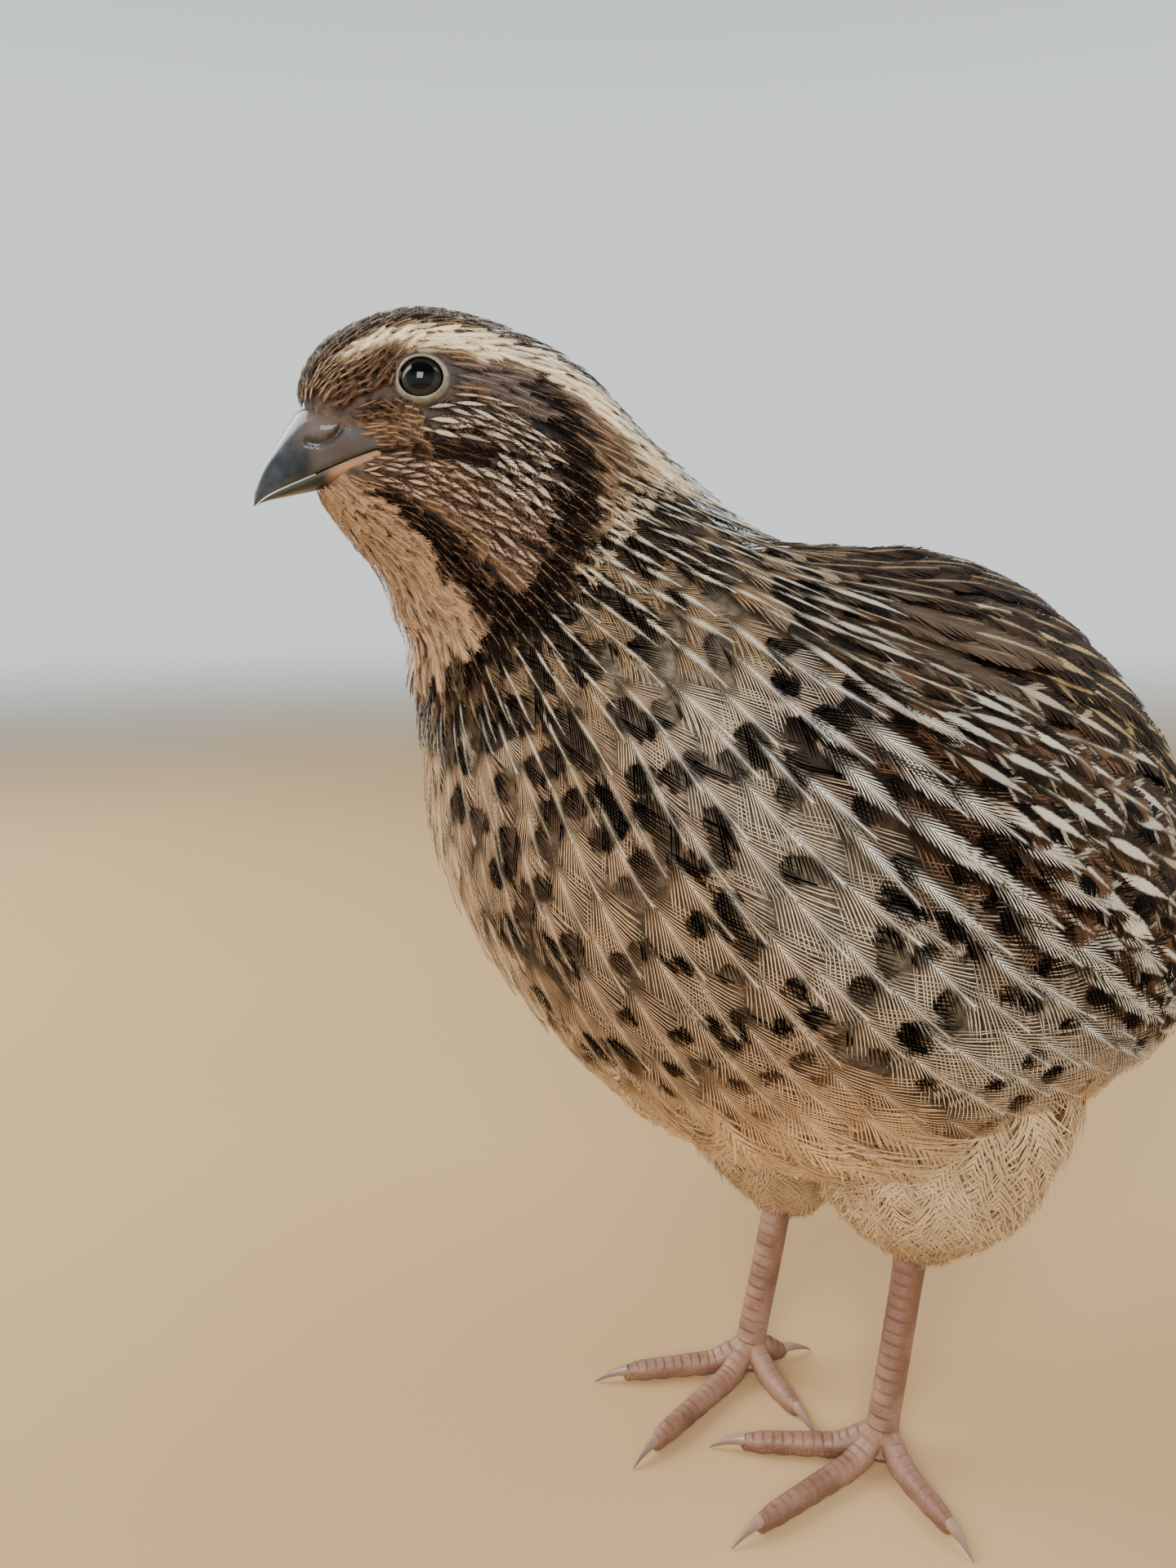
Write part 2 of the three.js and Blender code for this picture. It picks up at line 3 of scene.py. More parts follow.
import bpy
import numpy as np
from mathutils import Matrix, Vector
from mathutils.kdtree import KDTree


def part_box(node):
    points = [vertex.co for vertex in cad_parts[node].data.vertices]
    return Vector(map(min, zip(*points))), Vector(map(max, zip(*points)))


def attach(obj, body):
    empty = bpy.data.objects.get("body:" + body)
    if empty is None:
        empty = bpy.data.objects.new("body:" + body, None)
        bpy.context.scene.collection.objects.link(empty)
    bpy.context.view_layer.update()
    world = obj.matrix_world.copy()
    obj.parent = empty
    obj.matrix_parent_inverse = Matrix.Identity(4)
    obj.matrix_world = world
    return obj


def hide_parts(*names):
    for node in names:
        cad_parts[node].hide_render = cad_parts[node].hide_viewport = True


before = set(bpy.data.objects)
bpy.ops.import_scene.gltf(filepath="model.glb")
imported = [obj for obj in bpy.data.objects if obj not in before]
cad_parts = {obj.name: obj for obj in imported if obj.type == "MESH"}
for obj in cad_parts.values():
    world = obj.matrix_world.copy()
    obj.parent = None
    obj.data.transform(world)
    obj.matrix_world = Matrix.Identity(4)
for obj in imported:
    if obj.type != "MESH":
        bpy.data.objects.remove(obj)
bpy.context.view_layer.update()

# The camera stands before the bird's left breast and looks slightly down. The bird has life size,
# its body lies along +X and its head is turned to its right. Lengths are in millimetres until a
# mesh is made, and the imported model's origin is `origin` of them.
mm = 0.001
origin = np.array([0.151, 0, 0])
focal_length, picture_height = 1442, 1920
camera_at = np.array([127.9, 98.7, 127.0]) - origin
camera_right = Vector((-0.766, 0.6428, 0)).normalized()
camera_down = Vector((0.1282, 0.1527, -0.9799)).normalized()
camera_data = bpy.data.cameras.new("camera")
camera_data.sensor_fit = "VERTICAL"
camera_data.sensor_height = 36
camera_data.lens = camera_data.sensor_height * focal_length / picture_height
camera_data.clip_start = 0.005
camera_data.clip_end = 20
camera = bpy.data.objects.new("camera", camera_data)
camera_axes = Matrix((camera_right, -camera_down, camera_right.cross(-camera_down))).transposed()
camera.matrix_world = Matrix.Translation(Vector(camera_at * mm)) @ camera_axes.to_4x4()
bpy.context.scene.collection.objects.link(camera)
bpy.context.scene.camera = camera


# The stage: a flat pale floor that passes into a pale backdrop far off, in soft light from three
# windows: behind the bird at the picture's left, on the camera's side, and behind the tail.
# A finish is a material under way, and a field is one of its sockets.
def paint(code):
    """A colour from its usual six-figure code, as the shader's linear values, a little deeper
    than the code, because the picture's soft tones take as much away again."""
    share = np.array([int(code[i : i + 2], 16) / 255 for i in (1, 3, 5)])
    linear = np.where(share <= 0.04045, share / 12.92, ((share + 0.055) / 1.055) ** 2.4)
    grey = linear @ [0.2126, 0.7152, 0.0722]
    return np.maximum(grey + (linear - grey) * 0.96, 0.0005) ** 1.22


class Nodes:
    """The shader nodes of a material or of the room."""

    def __init__(self, owner):
        owner.use_nodes = True
        self.tree = owner.node_tree

    def put(self, value, socket):
        if isinstance(value, Field):
            self.tree.links.new(value.socket, socket)
        elif isinstance(value, (int, float)):
            socket.default_value = value
        else:
            value = [float(part) for part in value]
            socket.default_value = value + [1.0] if len(value) < len(socket.default_value) else value

    def node(self, kind, settings=None, sockets=None, output=0):
        """Adds a node: its settings first, then the values or links of its sockets. It gives one
        of its outputs, or all of them where output is None."""
        node = self.tree.nodes.new("ShaderNode" + kind)
        for key, value in (settings or {}).items():
            if key == "stops":
                for element, (place, colour) in zip(node.color_ramp.elements, value):
                    element.position = place
                    element.color = [*colour, 1]
            else:
                setattr(node, key, value)
        for key, value in (sockets or {}).items():
            self.put(value, node.inputs[key])
        fields = [Field(self, socket) for socket in node.outputs]
        return fields if output is None else fields[output]

    def maths(self, operation, *values):
        return self.node("Math", {"operation": operation}, dict(enumerate(values)))

    def mixed(self, share, first, second):
        """The first colour where share is 0, and the second where it is 1."""
        settings = {"data_type": "RGBA", "clamp_factor": True}
        return self.node("Mix", settings, {0: share, 6: first, 7: second}, 2)

    def here(self):
        return self.node("TexCoord", output=3)

    def noise(self, scale, detail, place=None):
        sockets = {"Vector": place or self.here(), "Scale": scale, "Detail": detail}
        return self.node("TexNoise", None, sockets)

    def attribute(self, name):
        return self.node("Attribute", {"attribute_name": name}, None, 1)

    def parts(self, vector):
        """The three numbers of a vector."""
        return self.node("SeparateXYZ", None, {0: vector}, None)


class Finish(Nodes):
    def __init__(self, name, **fixed):
        self.material = bpy.data.materials.new(name)
        super().__init__(self.material)
        self.shader = self.tree.nodes["Principled BSDF"]
        for key, value in fixed.items():
            self.shade(key.replace("_", " ").title().replace("Ior", "IOR"), value)

    def shade(self, name, value):
        """Sets or links one of the shader's sockets."""
        self.put(value, self.shader.inputs[name])

    def bumped(self, height, distance):
        self.shade("Normal", self.node("Bump", None, {"Height": height, "Distance": distance}))


class Field:
    def __init__(self, nodes, socket):
        self.nodes = nodes
        self.socket = socket

    def __abs__(self):
        return self.nodes.maths("ABSOLUTE", self)

    def sine(self):
        return self.nodes.maths("SINE", self)

    def larger(self, other):
        return self.nodes.maths("MAXIMUM", self, other)

    def between(self, low, high):
        """0 below low and 1 above high, or the other way round where high is the lower."""
        if low > high:
            return 1 - self.between(high, low)
        sockets = {"Value": self, "From Min": low, "From Max": high}
        return self.nodes.node("MapRange", {"interpolation_type": "SMOOTHSTEP"}, sockets)


def operators(word, operation):
    """Gives fields an operator, and the same with a number on its left."""
    setattr(Field, f"__{word}__", lambda self, other: self.nodes.maths(operation, self, other))
    setattr(Field, f"__r{word}__", lambda self, other: self.nodes.maths(operation, other, self))


operators("add", "ADD")
operators("sub", "SUBTRACT")
operators("mul", "MULTIPLY")
operators("truediv", "DIVIDE")
operators("pow", "POWER")


def made(name, points, corners, finish):
    """A mesh object of smooth triangles from points in millimetres."""
    mesh = bpy.data.meshes.new(name)
    points = (np.reshape(points, (-1, 3)) - origin) * mm
    corners = np.asarray(corners, np.int32)
    mesh.vertices.add(len(points))
    mesh.vertices.foreach_set("co", points.astype(np.float32).ravel())
    mesh.loops.add(corners.size)
    mesh.loops.foreach_set("vertex_index", corners.ravel())
    mesh.polygons.add(len(corners))
    mesh.polygons.foreach_set("loop_start", np.arange(0, corners.size, 3, dtype=np.int32))
    mesh.polygons.foreach_set("use_smooth", np.full(len(corners), True))
    mesh.materials.append(finish.material)
    mesh.update(calc_edges=True)
    piece = bpy.data.objects.new(name, mesh)
    bpy.context.scene.collection.objects.link(piece)
    return piece


def ring_corners(rows, columns, looped=False):
    """The triangles of a grid of rings; where it is looped the last ring meets the first."""
    i, j = np.meshgrid(np.arange(rows if looped else rows - 1), np.arange(columns), indexing="ij")
    here, after = i * columns, (i + 1) % rows * columns
    k = (j + 1) % columns
    halves = [(here + j, here + k, after + k), (here + j, after + k, after + j)]
    return np.concatenate([np.stack(half, -1).reshape(-1, 3) for half in halves])


table = Finish("pale_table", Roughness=0.8, Specular_IOR_Level=0.0, Emission_Strength=1.0)
table_x, table_y, _ = table.parts(table.here())
far_off = ((table_x * table_x + table_y * table_y) ** 0.5).between(0.35, 1.5)
wood = table.mixed(table.noise(3.0, 3.0), paint("#cfb38a"), paint("#c6a77e"))
backdrop = (0.98, 1.06, 1.05)
table.shade("Base Color", table.mixed(far_off, wood, (0, 0, 0)))
table.shade("Emission Color", table.mixed(far_off, (0, 0, 0), backdrop))
table_out = np.concatenate([[0.02], np.geomspace(100, 12000, 24)])
table_turn = np.radians(np.arange(0, 360, 4))
table_ring = np.stack([np.cos(table_turn), np.sin(table_turn), 0 * table_turn], -1)
table_points = table_out[:, None, None] * table_ring
floor = made("table", table_points, ring_corners(*table_points.shape[:2]), table)


def window(name, at, aim, size, power, colour):
    """A square of soft light, with its place, its aim and its size in millimetres."""
    light = bpy.data.lights.new(name, "AREA")
    light.shape = "RECTANGLE"
    light.size = light.size_y = size * mm
    light.energy = power
    light.color = colour
    lamp = bpy.data.objects.new(name, light)
    at, aim = Vector(at) * mm, Vector(aim) * mm
    turned = (aim - at).to_track_quat("-Z", "Y").to_matrix().to_4x4()
    lamp.matrix_world = Matrix.Translation(at) @ turned
    bpy.context.scene.collection.objects.link(lamp)


window("window_left", (230, -420, 400), (0, 0, 80), 420, 4.4, (0.95, 0.975, 1.0))
window("window_front", (440, 300, 420), (0, 0, 80), 300, 4.3, (1.0, 0.985, 0.96))
window("window_rear", (-380, 180, 520), (0, 0, 90), 420, 2.6, (0.96, 0.98, 1.0))
bpy.context.scene.world = bpy.data.worlds.new("room")
room = Nodes(bpy.context.scene.world)
upward = room.parts(room.node("TexCoord"))[2]
glow = room.node("ValToRGB", {"stops": [(0.3, backdrop), (0.7, (0.16, 0.17, 0.18))]}, {0: upward})
room.put(glow, room.tree.nodes["Background"].inputs["Color"])

# The skin: one closed form under the plumage, from the bill's root to the tail's, with the
# feathered thighs grown into it. It lies under the solids by the depth of the coat.
head_at = np.array([58.5, -9.7, 140.0])
head_turn = -22


def in_head(ahead, above, left=0.0):
    """A place given from the head's centre, along and across the way that the head faces."""
    turn = math.radians(head_turn)
    ahead, above, left = np.broadcast_arrays(ahead, above, left)
    x = ahead * math.cos(turn) - left * math.sin(turn)
    y = ahead * math.sin(turn) + left * math.cos(turn)
    return head_at + np.stack([x, y, above], -1)


# each row: a middle, its heading, the top ahead of and above it, the bottom likewise, half width
body_sections = np.array(
    [
        [*in_head(12.4, -4.2), -22, 0.2, 2.4, -0.4, -2.8, 2.2],
        [*in_head(10.6, -2.6), -22, 2.4, 5.6, 0.4, -6.6, 4.5],
        [*in_head(7.2, -1.8), -22, 2.0, 9.6, 0.8, -11.6, 6.9],
        [*in_head(0.3, -1.0), -22, -0.8, 11.6, 4.2, -16.2, 10.0],
        [*in_head(-7.5, -4.5), -20, -6.9, 10.9, 10.5, -16.0, 12.2],
        [*in_head(-13.8, -11.2), -14, -11.0, 8.0, 15.4, -13.0, 16.0],
        [38.5, -2.2, 120.5, -5, -12.8, 8.6, 22.8, -15.4, 22.5],
        [32, -1, 111, 0, -17.9, 16.0, 26.0, -23.4, 30.0],
        [21, 0, 101, 0, -19.7, 25.4, 25.3, -31.6, 37.0],
        [7, 0, 91, 0, -20.0, 31.2, 23.6, -35.4, 40.5],
        [-9, 0, 81, 0, -18.7, 31.2, 20.8, -34.2, 41.0],
        [-25, 0, 71.5, 0, -15.9, 26.6, 17.5, -29.2, 37.0],
        [-39, 0, 63, 0, -11.6, 19.3, 12.9, -21.4, 28.5],
        [-50, 0, 56.5, 0, -6.6, 11.2, 7.6, -13.0, 17.5],
        [-57, 0, 52.5, 0, -1.5, 2.6, 1.5, -2.6, 4.0],
    ]
)


def blended(rows, t):
    """A smooth run through rows of numbers, one row at each whole number."""
    t = np.asarray(t, float)
    last = len(rows) - 1
    i = np.clip(np.floor(t), 0, last - 1).astype(int)
    u = (t - i)[..., None]
    a, b, c, d = (rows[np.clip(i + step, 0, last)] for step in (-1, 0, 1, 2))
    bend = u * (2 * a - 5 * b + 4 * c - d + u * (3 * b - a - 3 * c + d))
    return b + 0.5 * u * (c - a + bend)


def on_form(rows, t, angle):
    """The point of a sectioned form at place t and an angle: 0 is its top, 90 its left side."""
    t, angle = np.broadcast_arrays(np.asarray(t, float), np.asarray(angle, float))
    row = blended(rows, t)
    c, s = np.cos(np.radians(angle))[..., None], np.sin(np.radians(angle))[..., None]
    heading = np.radians(row[..., 3:4])
    forward = np.concatenate([np.cos(heading), np.sin(heading), 0 * heading], -1)
    left = np.concatenate([-np.sin(heading), np.cos(heading), 0 * heading], -1)
    up = np.array([0.0, 0, 1])
    top = forward * row[..., 4:5] + up * row[..., 5:6]
    bottom = forward * row[..., 6:7] + up * row[..., 7:8]
    return row[..., :3] + np.where(c > 0, top * c, -bottom * c) + left * s * row[..., 8:9]


def unit(vectors):
    return vectors / np.maximum(np.linalg.norm(vectors, axis=-1, keepdims=True), 1e-9)


def form_axes(rows, t, angle):
    """How the form's surface runs per place and per degree, and its outward normal."""
    step_t, step_angle = 0.02, 0.75
    along = on_form(rows, t + step_t, angle) - on_form(rows, t - step_t, angle)
    around = on_form(rows, t, angle + step_angle) - on_form(rows, t, angle - step_angle)
    along, around = along / (2 * step_t), around / (2 * step_angle)
    normal = unit(np.cross(around, along))
    outward = on_form(rows, t, angle) - blended(rows, t)[..., :3]
    normal *= np.where((normal * outward).sum(-1, keepdims=True) < 0, -1, 1)
    return along, around, normal


def coat_depth(t):
    """How deep the skin lies under the plumage's outer surface, along the body."""
    return np.interp(t, [0, 1, 3, 4.4, 5.4, 7, 14], [0.5, 0.55, 0.6, 1.1, 1.7, 2.2, 2.2])


# The colours of the plumage, in tracts that are laid one over another. Each is a soft-edged patch
# from t to t and from angle to angle, with its ground colour, that of its dark marks and that of
# its pale ones, and how strong each marking is: the thin line down the shaft, the pair of spots,
# the bars, the pale edge, the pointed streak and the whitened tip.
black = "#060404"
tracts = [
    # t0, t1, angle0, angle1, soft t, soft angle,
    # ground, mark, pale, line, spots, bars, edge, streak, tip
    # all of neck and body, as on the neck and breast: cream with a pair of black spots
    (5.2, 16, 0, 180, 0.1, 1, "#e8d2b4", black, "#fdf8ee", 0.4, 0.9, 0.0, 0.0, 0.08, 0.65),
    # breast in front: plainer buff with smaller drops
    (5.4, 9.4, 128, 180, 0.5, 18, "#dcb993", black, "#f6e2c4", 0.4, 0.82, 0.0, 0.0, 0.08, 0.5),
    # belly and vent: plain pale down
    (7.9, 16, 136, 180, 0.7, 9, "#e4c8a2", "#a07a56", "#f0dcbc", 0.1, 0.0, 0.0, 0.0, 0.0, 0.3),
    (9.6, 16, 114, 180, 0.8, 9, "#dec19b", "#a07a56", "#ecd9bc", 0.1, 0.0, 0.0, 0.0, 0.0, 0.3),
    # back, from the nape to the rump
    (5.0, 16, 0, 52, 0.3, 10, "#64503e", black, "#cdb189", 0.3, 0.3, 0.9, 0.06, 0.25, 0.0),
    # sides over the wing: closed feathers, black and brown with a pointed white streak
    (5.7, 16, 50, 90, 0.4, 8, "#8a6c50", black, "#f9eedb", 0.2, 0.6, 0.7, 0.1, 0.8, 0.0),
    # the wing's rear half: barred brown with pale fringes
    (9.0, 16, 50, 86, 0.6, 5, "#5a4838", black, "#cdb896", 0.2, 0.3, 0.85, 0.4, 0.3, 0.0),
    # upper flank: bold cream streaks with black and chestnut beside them
    (6.3, 11.4, 86, 107, 0.4, 6, "#86664c", black, "#f9eedb", 0.0, 0.9, 0.1, 0.0, 0.95, 0.0),
    # the inner shoulder's long yellow stripes
    (7.3, 10.5, 48, 66, 0.4, 6, "#5f4a38", black, "#e2c592", 0.0, 0.2, 0.8, 0.1, 0.7, 0.0),
    # a plain patch at the wing's bend
    (6.25, 7.15, 54, 71, 0.25, 5, "#84715f", "#5b4b3d", "#a3907c", 0.3, 0.0, 0.3, 0.1, 0.05, 0.0),
    # head and neck
    (0.0, 5.2, 0, 180, 0.1, 1, "#846952", "#1c140e", "#c3a683", 0.3, 0.35, 0.0, 0.1, 0.3, 0.0),
    (4.5, 5.7, 35, 112, 0.3, 10, "#c6a57d", black, "#f5e8cf", 0.3, 0.72, 0.0, 0.0, 0.45, 0.4),
    (4.6, 5.6, 112, 150, 0.25, 10, "#c9a781", black, "#f0dfc3", 0.3, 0.8, 0.0, 0.0, 0.25, 0.4),
]


# Bands along the head: the places t, the angle of the middle and the half width at each, the look
head_bands = {
    "crown": ([0.5, 1.5, 3.0, 4.0, 4.8, 5.2], [0] * 6, [28, 34, 34, 30, 30, 30],
              "#56473b", "#120d09", "#bda78c", 0.1, 0.9, 0.0, 0.45, 0.12, 0.0),
    "crown's line": ([0.8, 2.0, 3.5, 4.6, 5.4], [0] * 5, [2.5, 3.5, 4.5, 5, 5],
                     "#a98c68", "#3b2c20", "#d5be98", 0.3, 0.2, 0.0, 0.0, 0.4, 0.0),
    "forehead": ([0.5, 0.9, 1.5, 1.9], [40, 42, 46, 48], [10, 12, 10, 4],
                 "#6c5541", "#17100b", "#c9b08a", 0.2, 0.7, 0.0, 0.1, 0.5, 0.0),
    "brow": ([1.5, 2.1, 2.8, 3.4, 4.0, 4.5, 5.0], [40, 42, 48, 43, 42, 44, 46],
             [2, 6, 7.5, 10, 11, 10, 5],
             "#f5e0ba", "#c9b08a", "#fbf0d8", 0.5, 0.0, 0.0, 0.0, 0.2, 0.4),
    "behind the eye": ([2.9, 3.2, 3.8, 4.1], [68, 66, 66, 68], [3, 11, 12, 4],
                       "#786860", "#3a2f26", "#a39384", 0.2, 0.2, 0.0, 0.1, 0.25, 0.0),
    "before the eye": ([1.2, 1.7, 2.0, 2.3, 2.6], [66, 70, 70, 70, 72], [10, 14, 15, 13, 6],
                       "#6e5443", "#130d09", "#a68c70", 0.1, 0.7, 0.0, 0.0, 0.2, 0.0),
    "ear": ([2.6, 3.2, 3.9, 4.25], [90, 90, 92, 92], [5, 14, 15, 13],
            "#7c6758", "#0d0907", "#dcc9b2", 0.1, 0.9, 0.0, 0.0, 0.85, 0.0),
    "cheek": ([1.7, 2.2, 2.7, 3.4, 4.0, 4.35], [110, 110, 111, 111, 112, 114],
              [5, 6.5, 6.5, 7.5, 9, 7],
              "#8c6f5b", "#1d140e", "#d0b49a", 0.2, 0.5, 0.0, 0.0, 0.72, 0.0),
    "mouth's line": ([1.8, 2.4, 2.7, 3.1, 3.5], [100, 100.5, 101, 98, 93], [1.5, 2.6, 3, 4, 3],
                     "#2b211a", "#0d0907", "#7c6a5a", 0.1, 0.6, 0.0, 0.0, 0.12, 0.0),
    "moustache": ([1.8, 2.5, 3.2, 3.8, 4.3, 4.6], [119, 125, 130, 133, 134, 134],
                  [2.5, 5, 6.5, 6.5, 7, 5],
                  "#221a14", "#0b0806", "#8a725f", 0.1, 0.8, 0.0, 0.0, 0.2, 0.0),
    "throat": ([0.0, 1.0, 1.9, 2.5, 3.2, 3.8, 4.5], [180] * 7, [68, 64, 57, 49, 43, 40, 38],
               "#bd9c7b", "#4a3526", "#d0b08b", 0.2, 0.25, 0.0, 0.0, 0.35, 0.2),
}
# The black collar runs across the neck: at each angle its place and its half width
collar_angles = [50, 62, 83, 99, 113, 134, 150, 170]
collar_places = [3.45, 3.75, 4.15, 4.38, 4.52, 4.62, 4.68, 4.7]
collar_widths = [0.06, 0.2, 0.25, 0.26, 0.22, 0.19, 0.2, 0.1]
collar_look = ("#0b0806", "#050303", "#9a8468", 0.0, 0.8, 0.0, 0.0, 0.12, 0.0)


def soft_step(value, edge, width):
    share = np.clip((value - edge) / np.maximum(width, 1e-6) + 0.5, 0, 1)
    return share * share * (3 - 2 * share)


def within(value, low, high, soft):
    """1 from low to high, with soft edges, but without one at 0 or at 180."""
    share = soft_step(value, low, soft) if low > 0 else 1
    return share * (1 - soft_step(value, high, soft)) if high < 180 else share


def from_top(angle):
    return np.abs((angle + 180) % 360 - 180)


def plumage_look(t, angle):
    """Ground, mark and pale colours and the strength of each marking, at places on the body."""
    t, angle = np.broadcast_arrays(np.asarray(t, float), from_top(np.asarray(angle, float)))
    colours = np.zeros((3, *t.shape, 3))
    marks = np.zeros((*t.shape, 6))

    def lay(share, *look):
        share = share[..., None]
        for k, code in enumerate(look[:3]):
            colours[k] += share * (paint(code) - colours[k])
        marks[...] += share * (np.array(look[3:]) - marks)

    for t0, t1, angle0, angle1, soft_t, soft_angle, *look in tracts:
        lay(within(t, t0, t1, soft_t) * within(angle, angle0, angle1, soft_angle), *look)
    for places, middles, halves, *look in head_bands.values():
        half = np.interp(t, places, halves)
        off = np.abs(angle - np.interp(t, places, middles))
        lay((1 - soft_step(off, half, 3.5)) * within(t, places[0], places[-1], 0.2), *look)
    off = np.abs(t - np.interp(angle, collar_angles, collar_places))
    half = np.interp(angle, collar_angles, collar_widths)
    lay((1 - soft_step(off, half, 0.12)) * (angle > 52) * 0.98, *collar_look)
    return colours, marks


def painted(piece, name, values):
    """Gives a piece a colour or a vector at each of its points."""
    attribute = piece.data.attributes.new(name, "FLOAT_VECTOR", "POINT")
    attribute.data.foreach_set("vector", np.ascontiguousarray(values, np.float32).ravel())


skin = Finish("skin_under_feathers", Roughness=0.8)
skin_mottle = skin.noise(900.0, 3.0)
skin_marked = skin_mottle.between(0.35, 0.7) * 0.5 + 0.25
skin.shade("Base Color", skin.mixed(skin_marked, skin.attribute("ground"), skin.attribute("mark")))
skin.bumped(skin_mottle, 0.0004)
skin_places = np.concatenate([np.linspace(0, 5, 61), np.linspace(5.1, 14, 90)])
place_grid, angle_grid = np.meshgrid(skin_places, np.arange(0, 360, 3.0), indexing="ij")
thigh_sections = {
    side: np.array(
        [
            [-2, side * 15, 74, 0, -18, 0, 16, 0, 15],
            [-4, side * 17, 61, 0, -20, 0, 18, 0, 17],
            [-4, side * 16, 50, 0, -19, 0, 18, 0, 15.6],
            [-5, side * 14, 40, 0, -16.5, 0, 15, 0, 13.5],
            [-6.4, side * 12.6, 34, 0, -11, 0, 10, 0, 9.4],
            [-6.8, side * 12.4, 30, 0, -4, 0, 4, 0, 3.8],
        ]
    )
    for side in (1, -1)
}


def sunk(rows, t, angle, depth):
    """Points that lie under a form by a depth."""
    normals = form_axes(rows, np.clip(t, 0.02, len(rows) - 1.02), angle)[2]
    return on_form(rows, t, angle) - normals * depth[..., None]


def with_ends(values):
    """The points or colours of a grid of rings, and then the mean of its first and last ring."""
    return np.concatenate([values.reshape(-1, 3), values[[0, -1]].mean(1)])


def capped(grid):
    """Closes a grid of rings with a point at each end."""
    rows, columns = grid.shape[:2]
    j = np.arange(columns)
    k, last = (j + 1) % columns, (rows - 1) * columns
    start = np.stack([np.full(columns, rows * columns), k, j], -1)
    end = np.stack([np.full(columns, rows * columns + 1), last + j, last + k], -1)
    return with_ends(grid), np.concatenate([ring_corners(rows, columns), start, end])


def tree_of(points):
    """Points set out for finding the nearest of them."""
    tree = KDTree(len(points))
    for k, point in enumerate(points):
        tree.insert(point, k)
    tree.balance()
    return tree


skin_points = sunk(body_sections, place_grid, angle_grid, coat_depth(place_grid))
skin_piece = made("skin", *capped(skin_points), skin)
for rows in thigh_sections.values():
    t, angle = np.meshgrid(np.linspace(0, 5, 30), np.arange(0, 360, 10.0), indexing="ij")
    depth = np.interp(t, [0, 1, 3, 4, 5], [4.0, 3.0, 2.6, 2.2, 1.4])
    thigh = made("thigh_skin", *capped(sunk(rows, t, angle, depth)), skin)
    join = skin_piece.modifiers.new("join", "BOOLEAN")
    join.operation = "UNION"
    join.solver = "EXACT"
    join.object = thigh
    bpy.context.view_layer.objects.active = skin_piece
    bpy.ops.object.modifier_apply(modifier=join.name)
    bpy.data.objects.remove(thigh)
skin_tree = tree_of(skin_points.reshape(-1, 3))
joined_points = np.array([vertex.co for vertex in skin_piece.data.vertices]) / mm + origin
nearest = np.array([skin_tree.find(point)[1] for point in joined_points])
t, angle = place_grid.ravel()[nearest], angle_grid.ravel()[nearest]
colours = plumage_look(t, angle)[0]
# painted shade: the skin is darker for the coat's shade, but low on the belly and the thighs as pale
# as the down over it
painted_coat_shade = np.interp(t, [1.8, 3.4], [0.9, 0.35])[:, None]
low = 1 - soft_step(joined_points[:, 2:], 60, 10)
painted(skin_piece, "ground", colours[0] * painted_coat_shade * (1 - low) + paint("#d8bb92") * low)
painted(skin_piece, "mark", colours[1] * painted_coat_shade * (1 - low) + paint("#b8936a") * low)
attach(skin_piece, "root")
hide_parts("head", "neck", "torso", "thigh_left", "thigh_right")


# The feathers. A plan is one feather laid flat: a shaft and its barbs, each a narrow strip that
# leaves the shaft at a slant, with every point's place along (0 to 1) and across (-1 to 1).
class Plan:
    def __init__(
        self, barbs, start, reach, stations, thickness, blunt=2.2, shoulder=0.3, shaft=0.03,
        swept=False,
    ):
        """`start` is the lowest barb's root, and `reach` is how far a barb runs toward the tip.
        Each barb has corners at its `stations`, with their `thickness` as a share of the pitch."""
        points, corners = [], []
        last_root = 0.985
        pitch = (last_root - start) / barbs
        for side in (1, -1):
            for i in range(barbs):
                q = (i + 0.5) / barbs
                root = start + (last_root - start) * q
                if swept:
                    # long barbs that bend back along the shaft, to a pointed tip
                    end = min(root + reach * (1 - 0.5 * q * q), 1.03)
                    wide = (1 - np.clip((end - 0.6) / 0.44, 0, 1) ** 1.8) ** 0.85
                else:
                    wide = (1 - q**blunt) ** 0.7 * (0.3 + 0.7 * min(1, q / shoulder))
                    end = min(root + reach * wide, 1.04)
                a = len(points)
                for station, thick in zip(stations, thickness):
                    middle = root + (end - root) * station
                    lean = side * wide * station**1.12
                    for edge in (-1, 1) if thick else (0,):
                        along = middle + edge * thick * pitch / 2
                        points.append((along, lean, barbs * (side < 0) + i, station, edge))
                for thick in thickness[1:]:
                    faces = [(a, a + 1, a + 3), (a, a + 3, a + 2)] if thick else [(a, a + 1, a + 2)]
                    corners += faces if side > 0 else [face[::-1] for face in faces]
                    a += 2
        shaft_from = len(points)
        for stop in (0, 0.3, 0.55, 0.8, 0.99):
            a = len(points)
            taper = shaft * (1 - 0.8 * stop)
            points += [(stop, -taper, 0, 0, 0), (stop, taper, 0, 0, 0)]
            if a > shaft_from:
                corners += [(a - 2, a, a + 1), (a - 2, a + 1, a - 1)]
        self.along, self.across, barb, self.share, self.edge = np.array(points, float).T
        self.barb = barb.astype(int)
        self.barbs = 2 * barbs
        self.raised = 0.05 * (np.arange(len(points)) >= shaft_from)
        self.corners = np.array(corners)


